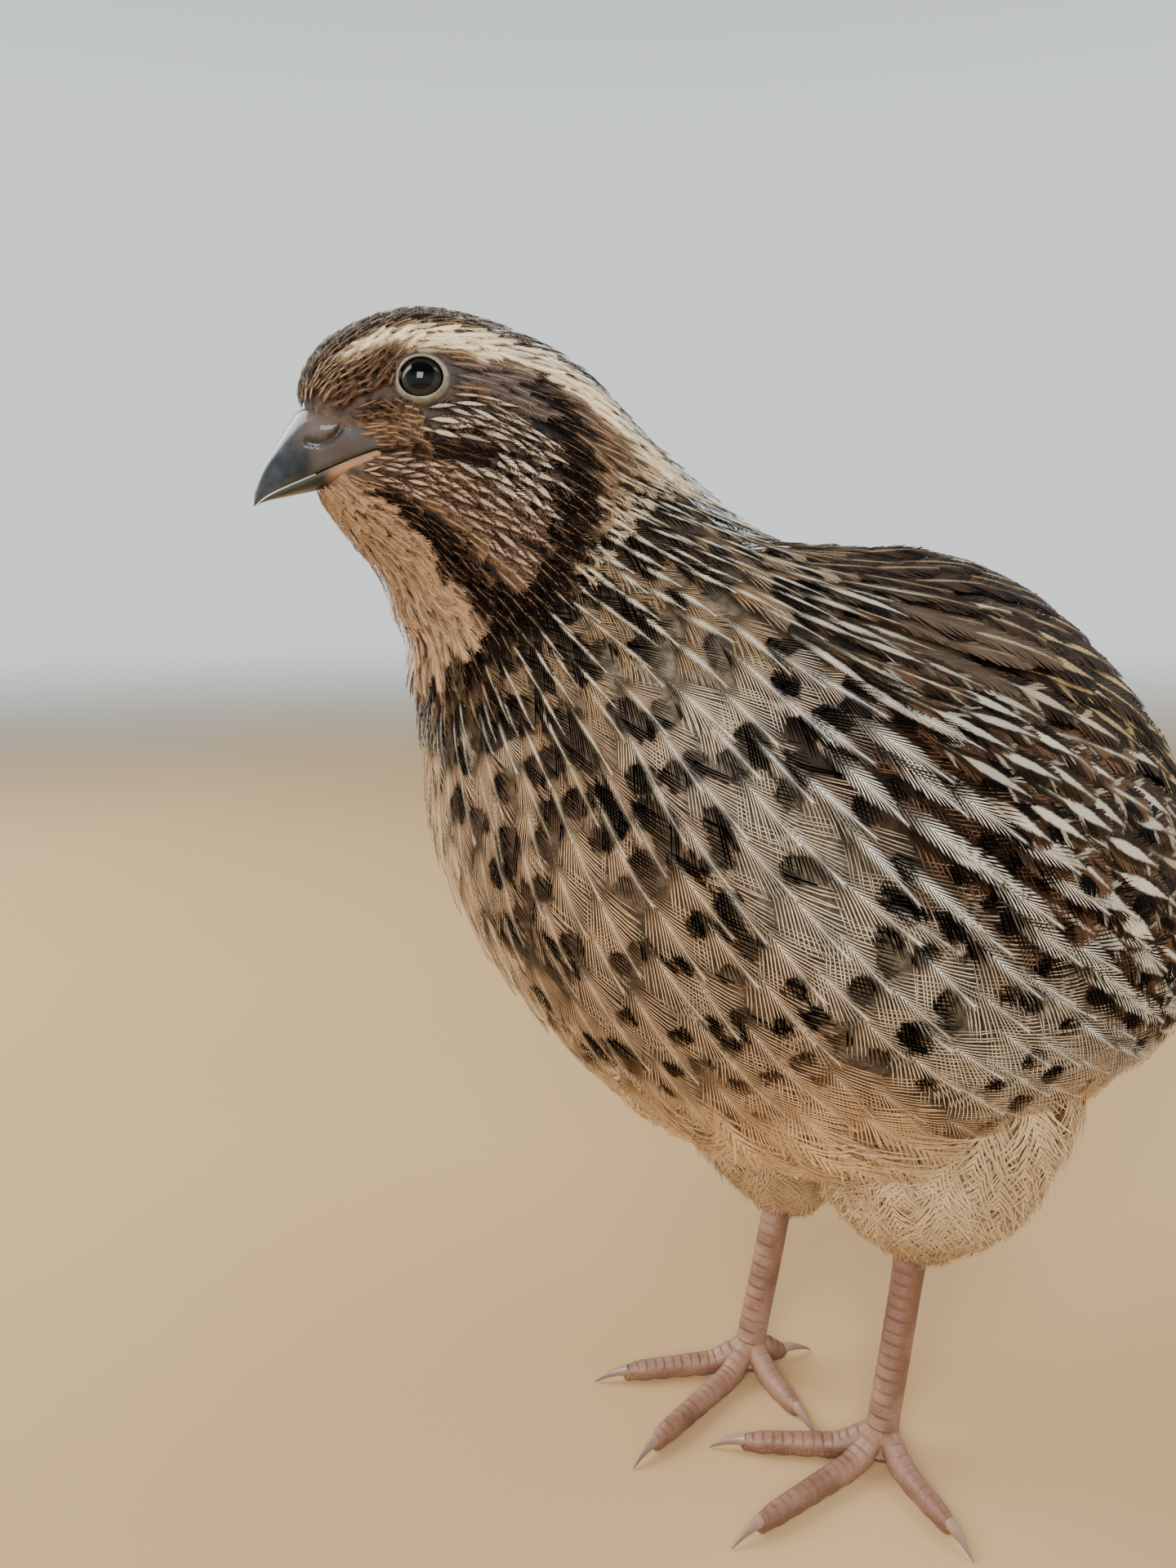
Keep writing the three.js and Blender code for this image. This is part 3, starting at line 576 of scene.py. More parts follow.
def courses(rows, t, angle, length, sway):
    """Four stops along each feather's course over a form, with its lie, its side and the normal."""
    t, angle = t.copy(), angle.copy()
    stops = []
    per_third = 3
    for step in range(3 * per_third + 1):
        along, around, normal = form_axes(rows, t, angle)
        lie, side = unit(along), unit(np.cross(normal, unit(along)))
        turn = np.radians(sway)[:, None]
        lie, side = lie * np.cos(turn) + side * np.sin(turn), side * np.cos(turn) - lie * np.sin(turn)
        if step % per_third == 0:
            stops.append((on_form(rows, t, angle), lie, side, normal, t.copy(), angle.copy()))
        aa, ab, bb = ((p * q).sum(-1) for p, q in ((along, along), (along, around), (around, around)))
        ra, rb = (along * lie).sum(-1), (around * lie).sum(-1)
        stride = length / (3 * per_third)
        whole = aa * bb - ab * ab
        t += np.clip(stride * (ra * bb - rb * ab) / whole, -0.4, 0.4)
        angle += np.clip(stride * (rb * aa - ra * ab) / whole, -12, 12)
        t = np.clip(t, 0.03, len(rows) - 1.03)
    return [np.stack([stop[k] for stop in stops], 1) for k in range(6)]


def feathered(
    name, plan, stops, half, heights, look, finish, seed, ruffle, camber,
    roll=0.0, patch=None, dots=None,
):
    """A piece of many feathers. Each follows four stops; heights are its lift at root and tip."""
    chance = np.random.default_rng(seed)
    count, points, barbs = len(stops[0]), len(plan.along), plan.barbs
    half, roll, root_lift, tip_lift = (
        np.broadcast_to(value, count)[:, None] for value in (half, roll, *heights)
    )

    def each_barb():
        return chance.normal(size=(count, barbs))[:, plan.barb]

    # neighbouring barbs cling together in clumps, and stray the more the further out they are
    loose = plan.share**2 * ruffle
    clumps = chance.normal(size=(count, barbs + 8))
    clumps = (sum(clumps[:, k : k + barbs] for k in range(0, 9, 2)) / 2.2)[:, plan.barb]
    length = np.linalg.norm(np.diff(stops[0], axis=1), axis=-1).sum(-1)[:, None]
    slack = 0.5 / np.maximum(length, 2)
    u = np.clip(plan.along + loose * slack * (0.9 * clumps + 0.5 * each_barb()), -0.1, 1.12)
    across = plan.across * (1 + loose * 0.07 * each_barb())
    rise = loose * 0.14 * (clumps + each_barb())
    weights = [
        -4.5 * (u - 1 / 3) * (u - 2 / 3) * (u - 1),
        13.5 * u * (u - 2 / 3) * (u - 1),
        -13.5 * u * (u - 1 / 3) * (u - 1),
        4.5 * u * (u - 1 / 3) * (u - 2 / 3),
    ]
    centre, side, normal = (
        sum(weight[..., None] * stops[part][:, k, None] for k, weight in enumerate(weights))
        for part in (0, 2, 3)
    )
    lift = tip_lift + (root_lift - tip_lift) * np.maximum(1 - u, 0) ** 1.6 + plan.raised + rise
    lift = lift - camber * across**2 + roll * across
    place = centre + side * (across * half)[..., None] + normal * lift[..., None]
    place = place.reshape(-1, 3)
    corners = (plan.corners[None] + points * np.arange(count)[:, None, None]).reshape(-1, 3)
    piece = made(name, place, corners, finish)
    own = np.broadcast_to(chance.uniform(size=count)[:, None], u.shape)
    painted(piece, "vane", np.stack([u, across, own], -1))
    # how far each point is from the middle of the nearest spot, in millimetres
    from_dot = np.full(count * points, 9.0)
    if dots is not None:
        dot_tree = tree_of(dots)
        from_dot = np.array([dot_tree.find(point)[2] for point in place])
    edges = np.tile(np.stack([plan.edge, plan.share], -1), (count, 1))
    painted(piece, "barb", np.column_stack([edges, from_dot]))
    colours, marks = look
    keys = ("ground", "mark", "pale", "line_spots_bars", "edge_streak_tip")
    for key, values in zip(keys, (*colours, marks[:, :3], marks[:, 3:])):
        painted(piece, key, np.repeat(values, points, 0))
    if patch is None:
        patch = np.stack([stops[5][:, 0] / 360 % 1, stops[4][:, 0] / 16], -1)
    spread = np.stack([plan.across * 0.0015, (plan.along - 0.5) * 0.003], -1)
    flat = (patch[:, None] + spread[None]).reshape(-1, 2)
    layer = piece.data.uv_layers.new(name="OFBake")
    layer.data.foreach_set("uv", flat[corners.ravel()].astype(np.float32).ravel())
    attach(piece, "root")
    return piece


def plumage_finish(
    name, roughness, gap_shade, sheen=0.1, dusky=(0.3, 0.08), bars_each=20.0, lines=0.0, dotted=False,
    streak_from=(0.12, 0.5), ticks=0.0,
):
    """The feathers' finish: each feather's ground colour with its own dark and pale markings."""
    finish = Finish(name, Specular_IOR_Level=sheen, Roughness=roughness)
    u, v, own = finish.parts(finish.attribute("vane"))
    at_edge, _, from_dot = finish.parts(finish.attribute("barb"))
    line, spot, bar = finish.parts(finish.attribute("line_spots_bars"))
    edge, streak, tip = finish.parts(finish.attribute("edge_streak_tip"))
    ground, mark, pale = (finish.attribute(key) for key in ("ground", "mark", "pale"))
    wide = abs(v)
    slant = u - 0.42 * wide
    rough = finish.noise(1300.0, 2.0) - 0.5
    patchy = finish.noise(240.0, 1.0) - 0.5
    strand_at = finish.node("CombineXYZ", None, {0: slant * 42, 1: own * 40 + v * 1.5, 2: wide * 1.5})
    strand = finish.noise(1.0, 2.0, strand_at) - 0.5
    run = u - 0.22 * wide + own * 0.05 + rough * 0.05
    bars = (run * bars_each + own * 6).sine() + rough * 1.1 + patchy * 1.5 + strand
    bars = bars.between(0.15, 0.5) * bar
    if dotted:
        in_dot = spot * 1.95 - from_dot + rough * 0.5 + strand * 0.5 + patchy * 0.8
        spots = in_dot.between(-0.15, 0.15)
        rusty = (in_dot + 0.3).between(-0.3, 0.3) * 0.4
    else:
        # a pair of spots beside the shaft, of which some feathers have only one
        over = (u - 0.76 + own * 0.07 + patchy * 0.08) / 0.14
        beside = (wide - 0.64 + patchy * 0.25) / 0.42
        spread = over * over + beside * beside + rough * 0.6 + strand * 0.9
        one_side = ((own - 0.5) * v).between(-0.2, -0.14) * spot.between(0.05, 0.7)
        spots = spread.between(1.15, 0.85) * one_side
        rusty = spread.between(1.7, 1.0) * one_side * 0.35
    half = streak * 0.3 * u.between(*streak_from) * (1.01 - u).between(-0.02, 0.34)
    beside_streak = (half + 0.3 - wide + rough * 0.22).between(-0.05, 0.05)
    beside_streak = beside_streak * streak.between(0.3, 0.75)
    dark = (beside_streak * (0.75 + strand)).larger(spots).larger(bars)
    stripe = (half - wide + rough * 0.1 + strand * 0.14).between(-0.06, 0.06)
    stripe = stripe * streak.between(0.02, 0.1)
    shaft = (0.1 - wide).between(-0.08, 0.07) * line
    rim = (wide.between(0.74, 0.98) + u.between(0.9, 1.0)).between(0.2, 1.0) * edge
    whitened = (u + 0.22 * wide + strand * 0.25).between(0.72, 1.02) * tip
    layers = [
        (patchy * 0.4 + strand * 0.7 + 0.04, mark),
        (rim, pale),
        (rusty, paint("#7d4f33")),
        (whitened * 0.9, pale),
        (dark, mark),
        (stripe.larger(shaft), pale),
        # painted shade: the barbs' edges are darkened for the shade in the gaps between them, and each
        # feather's hidden part is dusky
        (abs(at_edge).between(0.2, 0.9) * gap_shade, mark),
        (u.between(*dusky) * 0.8, mark),
    ]
    if ticks:
        tick = ((run * bars_each * 0.7 + own * 9).sine() + patchy * 0.8).between(0.86, 0.98)
        layers.insert(5, (tick * wide.between(0.12, 0.3) * ticks, pale))
    colour = ground
    for share, over in layers:
        colour = finish.mixed(share, colour, over)
    finish.shade("Base Color", colour)
    if lines:
        finish.bumped((slant * lines).sine() * 0.5 + rough, 0.00012)
    return finish


soft_vane = plumage_finish("soft_feathers", 0.75, 0.97, 0.02, dusky=(0.6, 0.4), dotted=True)
down_vane = plumage_finish("downy_feathers", 0.8, 0.3, dusky=(0.3, 0.1))
small_vane = plumage_finish("small_feathers", 0.75, 0.4, 0.03)
firm_vane = plumage_finish("firm_feathers", 0.6, 0.5, 0.07, lines=260.0)
covert_vane = plumage_finish(
    "covert_feathers", 0.6, 0.22, 0.07, lines=260.0, streak_from=(0.4, 0.6), ticks=0.6
)
quill_vane = plumage_finish("quill_feathers", 0.52, 0.4, 0.2, bars_each=46.0, lines=520.0)

# The coat runs on over the tail's root, so its own form is the body drawn out behind.
coat_sections = np.concatenate(
    [
        body_sections[:13],
        [
            [-51, 0, 56, 0, -6.8, 11.4, 7.6, -13.0, 20.5],
            [-60, 0, 50.5, 0, -4.6, 7.8, 5.2, -8.8, 17.0],
            [-69, 0, 45.0, 0, -3.0, 5.2, 3.6, -6.0, 13.5],
            [-78, 0, 39.5, 0, -1.8, 3.0, 2.2, -3.6, 9.0],
        ],
    ]
)
eyes = {
    side: np.array(sum(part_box(f"eye_{side}"), Vector((0, 0, 0)))) / 2 / mm + origin
    for side in ("left", "right")
}
eye_axes = {"left": (0.653, 0.715, 0.249), "right": (-0.026, -0.968, 0.248)}
# the bill and its root from the side, ahead of and above the head's centre, where no feathers grow
bill_outline = [
    (14.5, 0.4), (12.9, 0.3), (11.2, 0.1), (9.9, -0.3), (9.2, -1.1), (8.9, -2.6), (8.0, -3.3),
    (7.0, -3.8), (7.2, -4.5), (8.6, -5.5), (10.6, -6.7), (13.2, -7.6), (20.0, -9.0), (20.0, 2.0),
]


def inside(outline, x, y):
    """Whether each point lies inside an outline, by counting the edges to one side of it."""
    hit = np.zeros(np.shape(x), bool)
    for (x0, y0), (x1, y1) in zip(outline, outline[1:] + outline[:1]):
        crosses = (y0 > y) != (y1 > y)
        at = (x1 - x0) * (y - y0) / np.where(y1 == y0, 1e-9, y1 - y0) + x0
        hit ^= crosses & (x < at)
    return hit


def lattice(rows, places, columns, jitter, seed, angles=(0, 360)):
    """Roots in staggered rows round a form: each one's place, angle and the width of its column."""
    chance = np.random.default_rng(seed)
    pitch = (angles[1] - angles[0]) / columns
    t, angle = [], []
    for k, (place, gap) in enumerate(zip(places, np.gradient(places))):
        at = angles[0] + pitch * (np.arange(columns) + 0.5 * (k % 2) + 0.25)
        t.append(place + gap * jitter[0] * chance.uniform(-1, 1, columns))
        angle.append(at + pitch * jitter[1] * chance.uniform(-1, 1, columns))
    t, angle = np.concatenate(t), np.concatenate(angle)
    around = form_axes(rows, t, angle)[1]
    return t, angle, np.linalg.norm(around, axis=-1) * pitch


def travelled(points, step=1.0):
    """How many steps of a given length it takes along a line to each of its points."""
    return np.concatenate([[0], np.cumsum(np.linalg.norm(np.diff(points, axis=0), axis=1) / step)])


def spaced(rows, start, stop, spacing):
    """Places along a form's side from start to stop, a given number of millimetres apart."""
    fine = np.linspace(start, stop, 400)
    run = travelled(on_form(rows, fine, 100), spacing(fine[1:]))
    return np.interp(np.arange(0, run[-1]), run, fine)


# Head: very small close feathers, rooted in the skin in staggered rows. They part round the eyes,
# stop at the bill's root, and are longer and shaggier on the throat.
head_columns, lid_edge = 88, 2.45
head_rows = spaced(
    coat_sections, 0.25, 4.7, lambda t: np.interp(t, [0, 1.5, 3, 4.7], [0.62, 0.8, 1.05, 1.4])
)
t, angle, column = lattice(coat_sections, head_rows, head_columns, (0.32, 0.32), 11)
root = on_form(coat_sections, t, angle)
turn = math.radians(head_turn)
ahead = (root - head_at) @ [math.cos(turn), math.sin(turn), 0]
clear = ~inside(bill_outline, ahead, root[:, 2] - head_at[2])
along, _, normal = form_axes(coat_sections, t, angle)
lie = unit(along)
side = np.cross(normal, lie)
sway = np.zeros(len(t))
length = np.interp(t, [0, 1, 2, 3, 4.7], [1.5, 2.0, 2.7, 3.6, 4.8])
for word, at in eyes.items():
    away = root - at
    distance = np.linalg.norm(away, axis=-1)
    axis = unit(np.array(eye_axes[word]))
    before_eye = away @ axis
    off_axis = np.linalg.norm(away - before_eye[:, None] * axis, axis=-1)
    clear &= (off_axis > lid_edge) | (before_eye < 0)
    # near the eye they bend aside round the lid, and those that run straight at it are short
    toward = -unit(away - (away * normal).sum(-1, keepdims=True) * normal)
    facing, off = (toward * lie).sum(-1), (toward * side).sum(-1)
    near = np.clip((8.5 - distance) / 3.5, 0, 1) * (facing > 0)
    sway += -np.sign(off) * near * np.degrees(np.arccos(np.clip(np.abs(off), 0, 1))) * 0.55
    short = np.minimum(length, np.maximum(distance - 2.9, 1.0))
    length = np.where((facing > 0.2) & (distance < 7.5), short, length)
chance = np.random.default_rng(12)
sway += chance.normal(0, 7, len(t))
t, angle, column, sway, length = (values[clear] for values in (t, angle, column, sway, length))
# the throat's feathers are longer and stand off in tufts
shaggy = within(t, 2.2, 4.9, 1.0) * soft_step(from_top(angle), 152, 20)
length = length * (1 + 0.5 * shaggy)
head_plan = Plan(9, 0.08, 0.5, (0, 0.5, 1), (0.9, 0.62, 0))
stops = courses(coat_sections, t, angle, length * chance.uniform(0.85, 1.2, len(t)), sway)
colours, marks = plumage_look(t, angle)
colours = colours * chance.uniform(0.82, 1.16, (1, len(t), 1))
halves = np.maximum(column * 0.8, 0.55)
root_lift = -coat_depth(t) * np.clip((t - 0.7) / 1.1, 0.15, 1)
tip_lift = 0.1 + shaggy * chance.uniform(0, 1.5, len(t))
for name, part in (("coat_face", t < 2.9), ("coat_head", t >= 2.9)):
    feathered(
        name, head_plan, [stop[part] for stop in stops], halves[part],
        (root_lift[part], tip_lift[part]), (colours[:, part], marks[part]),
        small_vane, 13, 0.35, 0.06,
    )


# Neck and body: staggered rows of longer feathers, laid in bundles of tracts so that no piece
# is too heavy. Flank and breast barbs stand apart, the back's are closed, the belly's are down.
def row_gap(t):
    """How far apart the rows of feathers lie along the neck and body."""
    return np.interp(t, [4.6, 5.4, 5.6, 7.0, 12, 15], [1.0, 1.6, 2.2, 3.2, 3.3, 2.8])


body_rows = spaced(coat_sections, 4.62, 14.6, row_gap)
neck_end = 5.4
neck_rows, trunk_rows = body_rows[body_rows < neck_end], body_rows[body_rows >= neck_end]
neck_columns, trunk_columns, thigh_columns = 33, 26, 26
neck_plan = Plan(14, 0.25, 0.36, (0, 0.5, 1), (0.9, 0.66, 0.2), shaft=0.025, swept=True)
flank_plan = Plan(19, 0.26, 0.36, (0, 0.36, 0.7, 1), (0.92, 0.76, 0.6, 0.2), shaft=0.016, swept=True)
down_plan = Plan(15, 0.05, 0.42, (0, 0.36, 0.7, 1), (0.8, 0.55, 0.45, 0))
close_plan = Plan(22, 0.2, 0.3, (0, 0.5, 1), (1.1, 1.05, 0.6), blunt=2.1, shoulder=0.4)
chance = np.random.default_rng(23)
lattices = [
    lattice(coat_sections, rows_here, columns, (0.34, 0.09), seed)
    for rows_here, columns, seed in (
        (neck_rows, neck_columns, 21), (trunk_rows, trunk_columns, 22)
    )
]
t, angle, column = (np.concatenate(part) for part in zip(*lattices))
down = from_top(angle)
length = row_gap(t) * 5.4 * chance.uniform(0.88, 1.14, len(t))
neck = t < neck_end
belly = ~neck & (down > np.interp(t, [5.5, 7.8, 8.4, 9.6, 10.4, 15], [200, 200, 142, 136, 116, 112]))
sway = chance.normal(0, 2.5, len(t)) * np.where(belly, 4, 1)
stops = courses(coat_sections, t, angle, length, sway)
colours, marks = plumage_look(t, down)
colours = colours * chance.uniform(0.86, 1.12, (1, len(t), 1))
back = ~neck & ~belly & (down < 58)
flank = ~neck & ~belly & ~back
left = angle % 360 < 180
body_groups = [
    # name, which, plan, finish, slot, half width as a share of the column, ruffle
    ("coat_neck", neck, neck_plan, soft_vane, "neck_feathers", 0.48, 0.4),
    ("coat_back", back, close_plan, firm_vane, "body_feathers", 0.43, 0.3),
    ("coat_flank_left", flank & left, flank_plan, soft_vane, "body_feathers", 0.44, 0.3),
    ("coat_flank_right", flank & ~left, flank_plan, soft_vane, "body_feathers", 0.44, 0.3),
    ("coat_belly", belly, down_plan, down_vane, "body_feathers", 0.5, 2.2),
]
# those along the wing's edge lie over it, and those low behind the legs hang loose
over_wing = within(down, 86, 108, 8) * within(t, 6.2, 11.6, 1.0)
hanging = within(t, 8.2, 12.6, 1.6) * soft_step(down, 140, 22)
root_lift = -coat_depth(t) - 0.2
tip_lift = 0.35 + 1.5 * over_wing + 3.0 * hanging
# each spot lies beside a feather's shaft, near its tip; few on the neck, and not on every feather
often = np.interp(t, [5.0, 6.0], [0.44, 0.6])
often = often - 0.15 * within(down, 108, 140, 20) * soft_step(t, 7.6, 1)
dots = []
for way in (-1, 1):
    beside = way * chance.uniform(0.38, 0.62, len(t)) * column * 0.44
    at_dot = chance.uniform(0.3, 0.6, (len(t), 1))
    middle = stops[0][:, 2] * (1 - at_dot) + stops[0][:, 3] * at_dot
    middle = middle + stops[2][:, 2] * beside[:, None] + stops[3][:, 2] * (tip_lift - 0.25)[:, None]
    dots.append(middle[(neck | flank) & (chance.uniform(size=len(t)) < often)])
dots = np.concatenate(dots)
for name, part, plan, finish, slot, share, ruffle in body_groups:
    feathered(
        name, plan, [stop[part] for stop in stops], column[part] * share,
        (root_lift[part], tip_lift[part]), (colours[:, part], marks[part]),
        finish, 24, ruffle, 0.35, roll=chance.normal(0, 0.08, part.sum()),
        dots=dots if finish is soft_vane else None,
    )


# Thighs: loose pale down, rooted in the skin of the feathered part of each leg. It hangs down over
# the top of the scaled shank.
def same_look(count, codes, strengths):
    """The same colours and markings for every feather."""
    colours = np.repeat(np.stack([paint(code) for code in codes])[:, None], count, 1)
    return colours, np.tile(strengths, (count, 1))


for side, rows in thigh_sections.items():
    word = "left" if side > 0 else "right"
    # the down hangs over the shank, lower on the right
    rows = rows.copy()
    rows[3:, 2] -= [0.3, 0.6, 1.5] if side > 0 else [1.5, 3.5, 6.0]
    places = spaced(rows, 0.7, 4.75, lambda t: np.interp(t, [0, 2, 3.4, 5], [4.2, 3.6, 2.1, 1.6]))
    t, angle, column = lattice(rows, places, thigh_columns, (0.45, 0.45), 31 + side)
    length = np.interp(t, [0, 2.5, 4, 5], [15, 13, 10.5, 8]) * chance.uniform(0.85, 1.15, len(t))
    stops = courses(rows, t, angle, length, chance.normal(0, 15, len(t)))
    colours, marks = same_look(len(t), ("#d6bd98", "#a5784a", "#e9d6b8"), [0.1, 0, 0, 0, 0, 0.3])
    colours = colours * chance.uniform(0.85, 1.08, (1, len(t), 1))
    depth = np.interp(t, [0, 1, 3, 4, 5], [3.6, 2.8, 2.4, 2.0, 1.2])
    feathered(
        f"coat_thigh_{word}", down_plan, stops, np.maximum(column * 1.05, 1.5), (-depth, 0.5),
        (colours, marks), down_vane, 33, 2.4, 0.3,
    )

# Wings: each folded wing is tiers of closed vanes, from the long quills at its tip forward to the
# small coverts of its bend, with the shoulder feathers laid over its upper edge.
wing_sections = np.concatenate(
    [
        body_sections[:11],
        [
            [-25, 0, 71.5, 0, -15.9, 26.8, 17.5, -29.2, 37.4],
            [-39, 0, 63, 0, -12.4, 20.6, 12.9, -21.4, 30.5],
            [-52, 0, 55.5, 0, -8.8, 15.0, 8, -13.4, 21.5],
            [-65, 0, 48, 0, -6.4, 11.0, 5, -8, 13.5],
            [-78, 0, 40.5, 0, -4.8, 8.0, 3, -5, 7.5],
        ],
    ]
)


def spans(rows, roots, tips):
    """Four stops from each root straight to its tip, both as [place, angle] on a form."""
    share = np.linspace(0, 1, 4)[None, :, None]
    both = roots[:, None] + (tips - roots)[:, None] * share
    t, angle = both[..., 0], both[..., 1]
    centre = on_form(rows, t, angle)
    normal = form_axes(rows, np.clip(t, 0.03, len(rows) - 1.03), angle)[2]
    lie = unit(np.gradient(centre, axis=1))
    return [centre, lie, unit(np.cross(normal, lie)), normal, t, angle]


quill_plan = Plan(34, 0.02, 0.17, (0, 0.5, 1), (1.12, 1.1, 1.0), 4.5, 0.1, 0.05)
wing_tiers = [
    # count, roots [place, angle] at the lower and upper edge, tips, half width, lifts,
    # colours, markings
    (8, (10.4, 90, 10.6, 66), (13.1, 78, 14.3, 50), 4.2, (0.6, 1.2),
     ("#57483b", "#241b15", "#a98b66"), (0.3, 0.0, 0.75, 0.5, 0.0, 0.0)),
    (10, (9.5, 92, 9.6, 48), (12.1, 86, 12.8, 42), 4.8, (0.8, 1.7),
     ("#64503f", "#19120d", "#b8935f"), (0.3, 0.0, 0.9, 0.4, 0.0, 0.0)),
    (5, (9.2, 50, 9.0, 34), (12.4, 47, 12.9, 32), 5.0, (1.2, 2.2),
     ("#5a4534", "#120d09", "#e2c08a"), (0.2, 0.0, 0.8, 0.7, 0.35, 0.0)),
]
for side, word in ((1, "left"), (-1, "right")):
    for k, (count, roots, tips, half, lifts, codes, strengths) in enumerate(wing_tiers):
        share = np.linspace(0, 1, count)[:, None]
        root, tip = (
            np.array(ends[:2]) + np.subtract(ends[2:], ends[:2]) * share for ends in (roots, tips)
        )
        nudge = chance.normal(0, 0.05, (count, 2)) * [1, 14]
        stops = spans(wing_sections, (root + nudge) * [1, side], (tip + nudge) * [1, side])
        order = np.linspace(0, 0.35, count)
        colours, marks = same_look(count, codes, strengths)
        colours = colours * chance.uniform(0.88, 1.1, (1, count, 1))
        tier = feathered(
            f"wing_{word}_quills_{k + 1}", quill_plan, stops, half,
            (lifts[0] + order, lifts[1] + order), (colours, marks),
            quill_vane, 40 + k, 0.15, 0.3, roll=0.25 * side,
        )
        if k == 0:
            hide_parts(f"wing_{word}")

# Wing coverts and shoulder feathers: short closed feathers in staggered rows over the wing, each
# with a pointed pale streak; those of the shoulder are longer and lie over the wing's upper edge.
covert_plan = Plan(20, 0.06, 0.3, (0, 0.5, 1), (1.12, 1.08, 0.6), blunt=2.0, shoulder=0.4)
covert_tracts = [
    # name, columns, angles, spacing, half width as a share of the column, base lift, seed, finish
    ("coverts", 6, (47, 99), 4.5, 0.52, 0.3, 50, covert_vane),
    ("shoulder", 4, (22, 58), 4.6, 0.62, 0.8, 54, firm_vane),
]
for side, word in ((1, "left"), (-1, "right")):
    for name, columns, angles, spacing, wide, base, seed, finish in covert_tracts:
        places = spaced(wing_sections, 5.75, 10.6, lambda t: spacing)
        t, angle, column = lattice(wing_sections, places, columns, (0.2, 0.12), seed + side, angles)
        # the lowest coverts start further back, where the wing comes out of the flank's feathers
        shown = t > np.interp(angle, [24, 60, 80, 90, 99], [5.6, 5.8, 6.4, 7.2, 8.0])
        t, angle, column = t[shown], angle[shown], column[shown]
        count = len(t)
        length = spacing * np.interp(t, [6, 10.6], [3.2, 3.8]) * chance.uniform(0.88, 1.15, count)
        stops = courses(wing_sections, t, angle * side, length, chance.normal(0, 5, count))
        colours, marks = plumage_look(t, angle)
        colours = colours * chance.uniform(0.8, 1.15, (1, count, 1))
        marks = marks * chance.uniform(0.7, 1.15, marks.shape)
        # a feather here and there has hardly a streak, but more of its bars
        plain = chance.uniform(size=count) < 0.28
        marks[plain, 4] *= 0.3
        lift = base + np.interp(t, [5.8, 6.6, 8, 10.6], [-0.6, 0.4, 1.3, 1.5])
        lift = lift - 0.9 * soft_step(angle, 92, 12)
        feathered(
            f"{name}_{word}", covert_plan, stops, column * wide, (lift - 1.5, lift + 0.5),
            (colours, marks), finish, seed + 2, 0.35, 0.4,
            roll=chance.normal(0, 0.12, count),
        )

# Tail: twelve short stiff quills, rooted side by side in the rump and fanned like a shallow roof.
# The rump's feathers cover most of their length.
tail_plan = Plan(34, 0.02, 0.17, (0, 0.5, 1), (1.12, 1.1, 1.0), 3.0, 0.1, 0.05)
index = np.arange(12) - 5.5
off_middle, level = np.abs(index), np.ones(12)
fan = np.radians(index * 2.9)
slope = math.radians(34)
lie = unit(np.stack([-math.cos(slope) * np.cos(fan), np.sin(fan), -math.sin(slope) * level], -1))
roof = np.radians(6 * np.sign(index) + index)
side = np.stack([0 * fan, np.cos(roof), -np.sin(roof)], -1)
side = unit(side - (side * lie).sum(-1, keepdims=True) * lie)
up = unit(np.cross(lie, side))
up *= np.sign(up[:, 2:])
root = np.stack([-46.0 * level, index * 0.8, 57.3 - 0.55 * off_middle], -1)
reach = np.linspace(0, 1, 4)
line = root[:, None] + lie[:, None] * ((36.8 - 1.5 * off_middle)[:, None] * reach)[..., None]
line = line - up[:, None] * (1.2 * reach**2)[None, :, None]
tail = feathered(
    "tail_quills", tail_plan, [line, *(np.repeat(axis[:, None], 4, 1) for axis in (lie, side, up))],
    3.9, (0.0, 0.1 + 0.1 * (index % 2)),
    same_look(12, ("#54412f", "#18120d", "#c9a878"), (0.3, 0.0, 1.0, 0.5, 0.0, 0.0)),
    quill_vane, 60, 0.15, 0.4, patch=np.stack([0.5 + index * 0.01, 0.9 * level], -1),
)
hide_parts("tail")


# Bill: horn, in two halves that meet along the mouth. The upper one hooks over the lower and
# has a soft flap over each nostril; its root goes under the forehead's feathers.
def along_line(line, share):
    """Points at shares of the length of a line of [ahead, above] points, smoothly run."""
    line = np.array(line, float)
    run = travelled(line)
    at = np.interp(np.asarray(share) * run[-1], run, np.arange(len(line)))
    return blended(line, at)


culmen = [
    (5, -0.6), (8.5, 0.1), (11.6, 0.5), (13.3, 0.1), (14.4, -1.3), (15.5, -3.0), (16.6, -4.6),
    (17.4, -6.1), (17.9, -7.6), (18.1, -9.2),
]
mouth = [
    (5, -3.5), (6.7, -3.9), (8.4, -4.5), (10.1, -5.2), (11.7, -5.9), (13.3, -6.6), (14.7, -7.2),
    (16.0, -7.8), (17.1, -8.45), (18.0, -9.25),
]
keel = [
    (5, -6.4), (7.2, -6.6), (9.2, -6.95), (11.0, -7.4), (12.6, -7.8), (14.0, -8.1), (15.2, -8.35),
    (16.1, -8.55), (16.8, -8.7), (17.3, -8.75),
]
bill_half = [
    (0, 7.5), (0.1, 7.1), (0.2, 6.3), (0.3, 5.3), (0.42, 4.3), (0.55, 3.4), (0.66, 2.75),
    (0.78, 1.95), (0.88, 1.25), (0.96, 0.6), (1, 0.08),
]
bill = Finish(
    "bill_horn", Roughness=0.32, Specular_IOR_Level=0.2, Coat_Weight=0.45, Coat_Roughness=0.12
)
fine = bill.noise(1400.0, 4.0)
streaks = bill.noise(380.0, 3.0)
cloudy = streaks.between(0.35, 0.75) * 0.35
bill.shade("Base Color", bill.mixed(cloudy, bill.attribute("tint"), paint("#6d747c")))
bill.shade("Roughness", fine * 0.25 + 0.2 + bill.parts(bill.attribute("bare"))[0] * 0.4)
